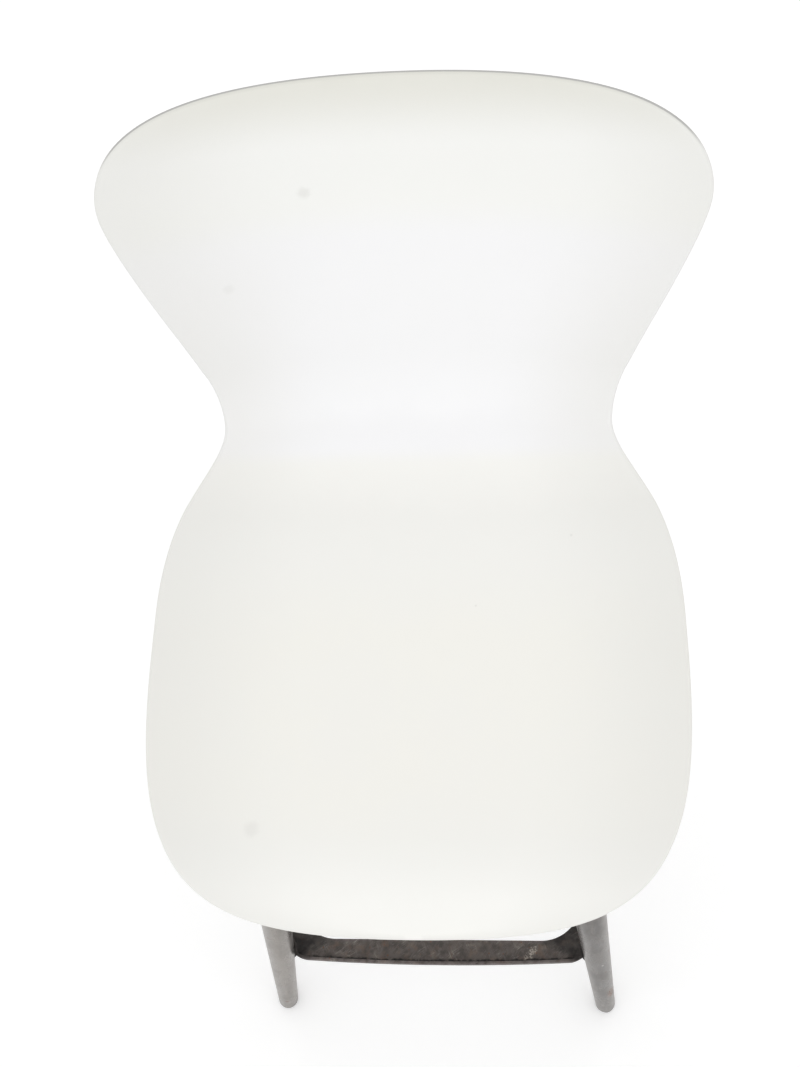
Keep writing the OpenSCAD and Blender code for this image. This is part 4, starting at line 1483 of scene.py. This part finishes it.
@dataclass
class Footrest:
    """Ring footrest: flat tread with a raised lip outside, held by a screwed tab at each leg.

    Screw heads and washers are in thread diameters. The two pairs of grime and shade hold a share
    of grime and painted shade and how far below the lip's top it starts. Each point of fillet holds
    its distance from the lip, its height over the tread and its share of crease grime and painted
    shade, and each of bevel its inset, its height over the underside and its shares of crease grime
    and painted shade and of worn edge.
    """

    stance: Stance
    end_w: float = 0.025
    bow: float = 0.004
    overhang: float = 0.009
    shoulder_r: float = 0.030
    bite: float = 0.006
    inner_r: float = 0.050
    lip_w: float = 0.0035
    lip_h: float = 0.007
    gap: float = 0.0003
    tab_t: float = 0.004
    tab_w: float = 0.026
    tab_bevel: float = 0.0015
    tab_round: float = 0.0007
    tab_into_tread: float = 0.0035
    tab_steps: int = 24
    screw_d: float = 0.008
    washer_t: float = 0.0016
    bow_steps: int = 36
    round_steps: int = 14
    notch_steps: int = 18
    fade_from: float = 0.0015
    fade_over: float = 0.010
    # reach of the painted shade on the tread from each leg's notch
    leg_shade_reach: float = 0.028
    lip_round: float = 0.0011
    edge_round: float = 0.0008
    edge_run: float = 0.004
    edge_worn: float = 0.002
    top_worn: float = 0.0015
    # grime and painted shade on the lip's inner face and, weaker, on its outer face
    inside_grime: Point = (0.9, 0.003)
    outside_grime: Point = (0.55, 0.0012)
    skin: float = 0.0005
    fillet: tuple[Triple, ...] = ((0.0, 0.0010, 0.95), (0.0003, 0.0004, 1.0),
                                  (0.0008, 0.0001, 1.0), (0.0012, 0.0, 0.95),
                                  (0.0044, 0.0, 0.0))
    bevel: tuple[tuple[float, ...], ...] = ((0.0018, 0.0, 0.0, 0.0), (0.0005, 0.0002, 0.0, 0.3),
                                            (0.0, 0.0008, 0.55, 0.3))
    screw_tip: float = 0.006
    head_d: float = 1.8
    head_h: float = 0.55
    washer_d: float = 2.1
    washer_play: float = 0.0004

    @property
    def end_x(self) -> float:
        """Sideways reach of the bars' ends."""
        return self.stance.leg_x(self.stance.tread_z) + self.overhang

    @property
    def end_y(self) -> float:
        """Front and back reach of the bars' ends."""
        return self.stance.leg_y(self.stance.tread_z) + self.overhang

    @property
    def lip_top(self) -> float:
        """Height of the lip's top."""
        return self.stance.tread_z + self.lip_h

    @property
    def notch_r(self) -> float:
        """Radius of the notch that clears a leg at the lip's top."""
        st = self.stance
        return st.radius(self.lip_top / math.cos(st.tilt)) / math.cos(st.tilt) + self.gap

    def shoulder(self, leg_at: float, across: float) -> float:
        """Place of a shoulder's centre, whose round would run a little way into the leg.

        Args:
            leg_at: Distance of the leg's line along the bar.
            across: How far the shoulder's centre lies from it across the bar.

        Returns:
            The centre's distance along the bar.
        """
        reach = self.shoulder_r + self.notch_r - self.bite
        return leg_at - math.sqrt(reach * reach - across * across)

    def outline(self, inset: float) -> np.ndarray:
        """Outer outline drawn in by an inset: bowed bars whose shoulders end at a leg's notch.

        Args:
            inset: How far inside the outer edge.

        Returns:
            Points, counter-clockwise from the middle of the front bar.
        """
        st, r = self.stance, self.shoulder_r
        leg = np.array([st.leg_x(self.lip_top), -st.leg_y(self.lip_top)])
        front = self.shoulder(leg[0], r - self.end_y - leg[1])
        side = self.shoulder(-leg[1], leg[0] - self.end_x + r)
        first, second = np.array([front, r - self.end_y]), np.array([self.end_x - r, -side])
        quarter = self.bowed(front, self.end_y, inset)
        quarter += self.shoulder_arc(first, leg, inset, 1.0)
        from_leg, to_leg = np.array(quarter[-1]) - leg, self.meeting(second, leg, inset, -1.0) - leg
        start, end = math.atan2(from_leg[1], from_leg[0]), math.atan2(to_leg[1], to_leg[0])
        start += math.tau if start < end else 0.0
        turns = (start + (end - start) * i / self.notch_steps for i in range(1, self.notch_steps))
        notch = self.notch_r + inset
        quarter += [(leg[0] + notch * math.cos(a), leg[1] + notch * math.sin(a)) for a in turns]
        quarter += self.shoulder_arc(second, leg, inset, -1.0)[::-1]
        quarter += [(-y, -x) for x, y in self.bowed(side, self.end_x, inset)[::-1]]
        return quartered(quarter)

    def meeting(self, centre: np.ndarray, leg: np.ndarray, inset: float,
                side: float) -> np.ndarray:
        """Place where a shoulder's round meets the leg's notch.

        Args:
            centre: Centre of the round.
            leg: Middle of the notch.
            inset: How far inside the outer edge.
            side: 1 for the end of the front bar, -1 for the end of the side bar.

        Returns:
            The place on the bar's outer side.
        """
        outer, notch = self.shoulder_r - inset, self.notch_r + inset
        ahead = leg - centre
        gap = float(np.linalg.norm(ahead))
        ahead /= gap
        along = (outer ** 2 - notch ** 2 + gap ** 2) / (2 * gap)
        out = np.array([ahead[1], -ahead[0]]) * side
        return centre + ahead * along + out * math.sqrt(outer ** 2 - along ** 2)

    def shoulder_arc(self, centre: np.ndarray, leg: np.ndarray, inset: float,
                     side: float) -> list[Point]:
        """Round of a shoulder, from the bar's outer edge to the notch.

        Args:
            centre: Centre of the round.
            leg: Middle of the notch.
            inset: How far inside the outer edge.
            side: 1 for the end of the front bar, -1 for the end of the side bar.

        Returns:
            Points with both ends.
        """
        start = -math.pi / 2 if side > 0 else 0.0
        last = self.meeting(centre, leg, inset, side) - centre
        turn = math.atan2(last[1], last[0]) - start
        radius = self.shoulder_r - inset
        turns = (start + turn * i / self.round_steps for i in range(self.round_steps + 1))
        return [(centre[0] + radius * math.cos(a), centre[1] + radius * math.sin(a)) for a in turns]

    def bowed(self, half: float, end: float, inset: float) -> list[Point]:
        """Half the bow of a bar, from its middle to its shoulder.

        Args:
            half: Half length between the shoulders' centres.
            end: Reach of the bar's ends.
            inset: How far inside the outer edge.

        Returns:
            Points in the front bar's place.
        """
        radius = (half * half + self.bow * self.bow) / (2 * self.bow)
        turns = (math.asin(half / radius) * i / self.bow_steps for i in range(self.bow_steps))
        reach, middle = radius - inset, radius - end - self.bow
        return [(reach * math.sin(a), middle - reach * math.cos(a)) for a in turns]

    def inner(self, growth: float) -> np.ndarray:
        """Inner outline of the tread, grown outwards."""
        half_x, half_y = self.end_x - self.end_w, self.end_y - self.end_w
        corner_steps = 2 * self.round_steps + self.notch_steps
        return rounded_square(half_x + growth, half_y + growth, self.inner_r + growth,
                              self.bow_steps, corner_steps)

    def section(self) -> Profile:
        """Closed section of the ring: inset, height, share of crease grime and painted shade, and
        share of worn edge.
        """
        tread, top = self.stance.tread_z, self.lip_top
        low, edge = tread - self.stance.tread_t, self.end_w
        outer = softened([(0.0, low), (0.0, top), (self.lip_w, top), (self.lip_w, tread)],
                         self.lip_round, False, 4)
        rows: Profile = []
        for inset, height in outer:
            # share of grime and painted shade on the lip's faces below its top
            crease = 0.0
            for (share, below), here in ((self.inside_grime, inset >= self.lip_w - MERGE_WITHIN),
                                         (self.outside_grime, inset < self.skin)):
                crease = share if here and height < top - below else crease
            rows.append((inset, height, crease, float(height > top - self.top_worn)))
        rows[-1:] = [(self.lip_w + out, tread + up, crease, 0.0) for out, up, crease in self.fillet]
        inside = edge - self.edge_run
        inner = softened([(inside, tread), (edge, tread), (edge, low), (inside, low)],
                         self.edge_round, False)
        rows += [(inset, height, 0.0, float(height > low + self.edge_worn
                                            and inset > edge - self.edge_worn))
                 for inset, height in inner]
        *rest, rows[0] = [(inset, low + up, crease, worn) for inset, up, crease, worn in self.bevel]
        return rows + rest

    def build(self, tree: CornerTree, steel: Material, zinc: Material) -> None:
        """Makes the ring, its tabs, its screws and washers.

        Args:
            tree: The corner tree.
            steel: Finish of the ring.
            zinc: Finish of the fasteners.
        """
        section = self.section()
        band = Band(self.outline, self.inner, self.end_w)
        points, faces = band.ring([row[:2] for row in section], self.stance.shift_y)
        away = self.from_notch(points[:len(points) // len(section), :2])
        clear = np.clip((away - self.fade_from) / self.fade_over, 0.0, 1.0)
        # painted shade on the tread, strongest at each leg's notch
        near = np.outer(np.ones(len(section)), np.clip(1.0 - away / self.leg_shade_reach, 0.0, 1.0))
        ring = mesh_piece("footrest_tread", points, faces, steel)
        # crease carries grime and painted shade, faded out at the notches
        keep(ring, "crease", np.outer([row[2] for row in section], clear).ravel())
        keep(ring, "edge", np.outer([row[3] for row in section], clear).ravel())
        keep(ring, "near", near.ravel())
        seat_piece(ring, Slot.FOOTREST, "footrest_ring")
        seat_piece(self.tabs(steel), Slot.FOOTREST)
        seat = self.stance.on_tab()
        screws = tree.make("footrest_screw_set", self.screw(), seat, zinc)
        seat_piece(screws, Slot.ZINC, "footrest_screws")
        washers = tree.make("footrest_washer_set", self.washer(), seat, zinc)
        seat_piece(washers, Slot.ZINC, "footrest_washers")

    def from_notch(self, places: np.ndarray) -> np.ndarray:
        """Distances of the outline's points from the nearest leg's notch.

        Args:
            places: The outline's points, seen from above.

        Returns:
            One distance for each point.
        """
        leg = np.array([self.stance.leg_x(self.lip_top), self.stance.leg_y(self.lip_top)])
        middle = np.array([0.0, self.stance.shift_y])
        return np.linalg.norm(np.abs(places - middle) - leg, axis=1) - self.notch_r

    @property
    def tab_face(self) -> float:
        """Distance of the tab's outer face from the leg's middle."""
        return self.stance.radius(self.stance.tab_at) + self.stance.saddle_t

    def tabs(self, steel: Material) -> Piece:
        """Makes the four tabs, one flat strap with a round end at each leg."""
        st, half = self.stance, self.tab_w / 2
        upright = math.cos(st.tilt)
        up = (st.tread_z - st.tread_t / 2 - st.tab_at * upright) / upright + self.tab_into_tread
        faces, points = [], []
        levels = softened([(self.tab_bevel, 0.0), (0.0, 0.0), (0.0, self.tab_t),
                           (self.tab_bevel, self.tab_t)], self.tab_round, False)
        turns = [math.pi * i / self.tab_steps for i in range(self.tab_steps + 1)]
        for inset, out in levels:
            reach = half - inset
            bow = [(-reach * math.cos(a), -reach * math.sin(a)) for a in turns]
            points += [(u, v, self.tab_face + out) for u, v in [(-reach, up), *bow, (reach, up)]]
        count = len(points) // len(levels)
        for level in range(len(levels) - 1):
            low, high = level * count, (level + 1) * count
            faces += [(low + i, low + (i + 1) % count, high + (i + 1) % count, high + i)
                      for i in range(count)]
        faces += [tuple(range(count)), tuple(range(len(points) - count, len(points)))]
        whole, sides = [], []
        seat, leg = st.on_tab(), st.on_leg()
        for x, y in ((-1, -1), (-1, 1), (1, -1), (1, 1)):
            inward = Vector((-x * seat.axis[0], -y * seat.axis[1], seat.axis[2]))
            upward = Vector((-x * leg.axis[0], -y * leg.axis[1], leg.axis[2]))
            across = inward.cross(upward)
            start = Vector((x * seat.spread[0], y * seat.spread[1] + st.shift_y, seat.spread[2]))
            sides += [tuple(n + len(whole) for n in face) for face in faces]
            whole += [start + across * u + upward * v + inward * w for u, v, w in points]
        return mesh_piece("footrest_tabs", np.array(whole), sides, steel)

    def screw(self) -> Profile:
        """Round head with a hexagon socket, from the shank's tip inwards."""
        seat = self.tab_face + self.tab_t + self.washer_t
        return socket_screw(self.screw_d, self.screw_tip, seat, self.head_d * self.screw_d,
                            self.head_h * self.screw_d, 1.0)

    def washer(self) -> Profile:
        """Closed section of a washer."""
        start = self.tab_face + self.tab_t
        return washer(self.screw_d / 2 + self.washer_play, self.washer_d * self.screw_d / 2, start,
                      start + self.washer_t)


def washer(bore: float, outer: float, start: float, end: float) -> Profile:
    """Closed section of a plain washer.

    Args:
        bore: Radius of its bore.
        outer: Its outer radius.
        start: Place of its first face along the axis.
        end: Place of its other face.

    Returns:
        Radius, share of a hexagon and place of each point.
    """
    ring = softened([(bore, start), (outer, start), (outer, end), (bore, end)], WASHER_ROUND)
    return [(r, 0.0, z) for r, z in [*ring, ring[0]]]


def socket_screw(thread: float, tip: float, seat: float, head_d: float, head_h: float,
                 way: float) -> Profile:
    """Profile of a round-headed screw with a hexagon socket.

    Args:
        thread: Thread diameter.
        tip: Place of the shank's tip along the axis.
        seat: Place of the face under the head.
        head_d: Diameter of the head.
        head_h: Height of the head.
        way: 1 where the head lies up the axis from its seat, or -1 where it lies down it.

    Returns:
        Radius, share of a hexagon and place of each point.
    """
    head, top, straight, crown, soft = head_d / 2, seat + way * head_h, 0.6, 0.8, 0.0005
    key, mouth, throat, depth, cone = 0.375 * thread, 1.25, 1.04, 0.6, 0.68
    chamfer, point, bevel = 0.0006 * way, math.copysign(0.0008, seat - tip), 0.0007
    body = softened([(thread / 2, seat), (head, seat), (head, seat + way * straight * head_h),
                     (head * crown, top), (key * mouth, top)], soft, False, 4)
    return [(0, 0, tip), (thread / 2 - bevel, 0, tip), (thread / 2, 0, tip + point),
            *((r, 0.0, z) for r, z in body), (key * throat, 0.6, top - chamfer * 0.3),
            (key, 1, top - chamfer), (key, 1, top - way * depth * head_h),
            (0, 0, top - way * cone * head_h)]


@dataclass
class SeatFrame:
    """Pressed steel ring under the shell, its pads on the legs and the screws up into the shell.

    Screw heads and washers are in thread diameters.
    """

    stance: Stance
    half: float = 0.128
    bar_w: float = 0.040
    thickness: float = 0.005
    corner_r: float = 0.018
    edge_h: float = 0.016
    screw_x: float = 0.060
    screw_d: float = 0.006
    washer_t: float = 0.0016
    washer_play: float = 0.0004
    washer_d: float = 2.6
    head_d: float = 2.0
    head_h: float = 0.6
    grip: float = 0.008
    edge_round: float = 0.0018
    pad_round: float = 0.0008
    side_steps: int = 10
    corner_steps: int = 12

    def outer(self, inset: float) -> np.ndarray:
        """Outer outline drawn in by an inset."""
        return rounded_square(self.half - inset, self.half - inset, self.corner_r - inset,
                              self.side_steps, self.corner_steps)

    def inner(self, growth: float) -> np.ndarray:
        """Inner outline grown outwards."""
        half = self.half - self.bar_w + growth
        return rounded_square(half, half, self.corner_r + growth, self.side_steps,
                              self.corner_steps)

    def build(self, tree: CornerTree, coat: Material, zinc: Material) -> None:
        """Makes the ring, the pads, the screws and the washers.

        Args:
            tree: The corner tree.
            coat: Finish of the ring and the pads.
            zinc: Finish of the fasteners.
        """
        st, wall, edge = self.stance, self.thickness, self.bar_w
        top, low = st.frame_top, st.frame_top - wall
        rim = low - self.edge_h + wall
        section = softened([(0.0, low), (0.0, top), (edge, top), (edge, rim), (edge - wall, rim),
                            (edge - wall, low)], self.edge_round)
        points, faces = Band(self.outer, self.inner, edge).ring(section, st.shift_y)
        ring = mesh_piece("seat_frame_ring", points, faces, coat)
        seat_piece(ring, Slot.FRAME, "seat_frame")
        reach, base = st.pad_d / 2, st.pad_at - st.pad_t
        pad = softened([(0.0, base), (reach, base), (reach, st.pad_at), (0.0, st.pad_at)],
                       self.pad_round, False)
        pads = tree.make("seat_frame_pads", [(r, 0.0, z) for r, z in pad], st.on_leg(), coat)
        seat_piece(pads, Slot.FRAME)
        seat, head = st.upright(self.screw_x, self.half - edge / 2), low - self.washer_t
        disc = washer(self.screw_d / 2 + self.washer_play, self.washer_d / 2 * self.screw_d, head,
                      low)
        seat_piece(tree.make("shell_washer_set", disc, seat, zinc), Slot.ZINC, "shell_washers")
        screw = socket_screw(self.screw_d, top + self.grip, head, self.head_d * self.screw_d,
                             self.head_h * self.screw_d, -1.0)
        seat_piece(tree.make("shell_screw_set", screw, seat, zinc), Slot.ZINC, "shell_screws")


@dataclass(frozen=True)
class PhotoCamera:
    """Camera at the photograph's place, found by fitting the shell's outline."""

    place: Triple = (0.064903, -0.427883, 1.772615)
    yaw: float = math.radians(9.202)
    fall: float = math.radians(63.463)
    roll: float = math.radians(-9.079)
    lens: float = 40.40
    long_side: float = 36.0

    def build(self) -> None:
        """Makes the camera and puts it to use."""
        level = math.cos(self.fall)
        ahead = Vector((-math.sin(self.yaw) * level, math.cos(self.yaw) * level,
                        -math.sin(self.fall)))
        across = Vector((math.cos(self.yaw), math.sin(self.yaw), 0.0))
        over = across.cross(ahead)
        right = math.cos(self.roll) * across + math.sin(self.roll) * over
        up = math.cos(self.roll) * over - math.sin(self.roll) * across
        turn = Matrix((right, up, -ahead)).transposed().to_4x4()
        data = bpy.data.cameras.new("photo_camera")
        data.sensor_width = self.long_side
        data.lens = self.lens
        camera = linked("photo_camera", data)
        camera.matrix_world = Matrix.Translation(self.place) @ turn
        bpy.context.scene.camera = camera


@dataclass(frozen=True)
class Lamp:
    """Square soft lamp that points at a place on the stool."""

    name: str
    place: Triple
    target: Triple
    size: float
    power: float

    def light(self) -> bpy.types.Light:
        """Makes the lamp's light."""
        data = bpy.data.lights.new(self.name, "AREA")
        data.energy, data.size = self.power, self.size
        return data

    def build(self) -> None:
        """Puts the lamp in its place and turns it to its target."""
        aim = Vector(self.target) - Vector(self.place)
        turn = aim.to_track_quat("-Z", "Y").to_matrix().to_4x4()
        linked(self.name, self.light()).matrix_world = Matrix.Translation(self.place) @ turn


@dataclass(frozen=True)
class Spot(Lamp):
    """Soft spot lamp whose pool of light fades out evenly; its size is the lamp's own radius."""

    cone: float = 0.0

    def light(self) -> bpy.types.Light:
        """Makes the lamp's light."""
        data = bpy.data.lights.new(self.name, "SPOT")
        data.energy, data.shadow_soft_size = self.power, self.size
        data.spot_size, data.spot_blend = self.cone, 1.0
        return data


@dataclass(frozen=True)
class Studio:
    """White studio: soft lamps, an even white world and a pale floor that keeps the shadow."""

    world_level: float = 0.91
    floor_half: float = 12.0
    floor_tone: Colour = (0.95, 0.95, 0.95)
    floor_roughness: float = 0.9
    floor_specular: float = 0.1
    floor_lift: float = 0.185
    lamps: tuple[Lamp, ...] = (
        Lamp("front_lamp", (0.3, -3.0, 2.0), (0.0, 0.0, 0.7), 1.5, 6.5),
        Spot("back_pool", (0.0, -1.8, 1.9), (0.05, 0.25, 0.94), 0.35, 33.0, math.radians(21.0)),
        Spot("seat_pool", (0.0, -1.3, 2.6), (0.0, -0.12, 0.745), 0.35, 40.5, math.radians(16.0)),
    )

    def build(self) -> None:
        """Makes the world, the floor and the lamps."""
        self.world()
        self.floor()
        for lamp in self.lamps:
            lamp.build()

    @staticmethod
    def seen(g: Graph) -> Socket:
        """Tells the rays that should meet plain white: straight, mirrored or let through."""
        path = g.add("ShaderNodeLightPath")
        shown = g.most(path.outputs["Is Camera Ray"], path.outputs["Is Glossy Ray"])
        return g.most(shown, path.outputs["Is Transmission Ray"])

    def world(self) -> None:
        """Lights the stool evenly and shows white."""
        world = bpy.data.worlds.new("studio_world")
        world.use_nodes = True
        g = Graph(world.node_tree)
        back = world.node_tree.nodes["Background"]
        back.inputs["Color"].default_value = (1.0, 1.0, 1.0, 1.0)
        level = Ramp(0.0, 1.0, self.world_level, 1.0, smooth=False)
        g.wire(g.remap(self.seen(g), level), back.inputs["Strength"])
        bpy.context.scene.world = world

    def floor(self) -> None:
        """Makes the pale floor, lifted to white for the camera where nothing shades it."""
        material = bpy.data.materials.new("pale_floor")
        material.use_nodes = True
        g = Graph(material.node_tree)
        camera_ray = g.add("ShaderNodeLightPath").outputs["Is Camera Ray"]
        given = {"Base Color": (*self.floor_tone, 1.0), "Roughness": self.floor_roughness,
                 "Specular IOR Level": self.floor_specular,
                 "Emission Color": (1.0, 1.0, 1.0, 1.0),
                 "Emission Strength": g.times(camera_ray, self.floor_lift)}
        for name, value in given.items():
            g.wire(value, material.node_tree.nodes["Principled BSDF"].inputs[name])
        h = self.floor_half
        mesh = bpy.data.meshes.new("studio_floor")
        corners = [(-h, -h, 0.0), (h, -h, 0.0), (h, h, 0.0), (-h, h, 0.0)]
        mesh.from_pydata(corners, [], [(0, 1, 2, 3)])
        mesh.materials.append(material)
        floor = linked("studio_floor", mesh)


@dataclass
class Finishes:
    """All the stool's materials, by slot."""

    shell: ShellFinish

    def build(self) -> dict[Slot, Material]:
        """Makes each material once.

        Returns:
            The materials by slot.
        """
        effects = Effects()
        table = {
            Slot.SHELL: self.shell,
            Slot.LEG: LegFinish(),
            Slot.FOOTREST: FootrestFinish(),
            Slot.FRAME: CoatedFinish("black_powder_coat", 0.5),
            Slot.ZINC: PlatedFinish("zinc_plating", 0.32),
            Slot.BRASS: PlatedFinish("turned_brass", 0.3, tone=(0.62, 0.43, 0.16),
                                     dull=(0.4, 0.27, 0.1)),
            Slot.RUBBER: CoatedFinish("black_rubber", 0.7, tone=(0.014, 0.014, 0.014),
                                      worn=(0.035, 0.034, 0.033)),
            Slot.GLIDE: CoatedFinish("dark_nylon", 0.45, tone=(0.03, 0.03, 0.031),
                                     worn=(0.09, 0.088, 0.086)),
        }
        return {slot: finish.build(effects) for slot, finish in table.items()}


KEPT = {
    Slot.RUBBER: ("shock_mounts", "footrest_saddles"),
    Slot.BRASS: ("mount_inserts",),
    Slot.ZINC: ("leg_bushes", "leg_lock_washers", "footrest_rivet_nuts"),
    Slot.GLIDE: ("glide_front_left", "glide_front_right", "glide_rear_left", "glide_rear_right"),
}


def dress_kept(nodes: dict[str, Piece], finishes: dict[Slot, Material]) -> None:
    """Gives the nodes that stay their finishes.

    Args:
        nodes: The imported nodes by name.
        finishes: The materials by slot.
    """
    for slot, names in KEPT.items():
        for name in names:
            for holder in nodes[name].material_slots:
                holder.material = finishes[slot]
            LOG.info("%s: keeps its shape, dressed as %s", name, slot.value)


def main() -> None:
    """Builds the camera, the studio and the stool, in that order."""
    logging.basicConfig(level=logging.INFO, format="%(name)s: %(message)s")
    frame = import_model()
    scene = bpy.context.scene
    scene.view_settings.view_transform = "Standard"
    PhotoCamera().build()
    Studio().build()
    shell = SeatShell()
    shell.centre()
    stance = Stance(shell.shift_y)
    finishes = Finishes(ShellFinish(smudges=shell.smudges)).build()
    tree = CornerTree()
    shell.build(finishes[Slot.SHELL])
    SeatFrame(stance).build(tree, finishes[Slot.FRAME], finishes[Slot.ZINC])
    Legs(stance).build(tree, finishes[Slot.LEG], finishes[Slot.ZINC])
    Footrest(stance).build(tree, finishes[Slot.FOOTREST], finishes[Slot.ZINC])
    dress_kept(frame["nodes"], finishes)


if __name__ == "__main__":
    main()
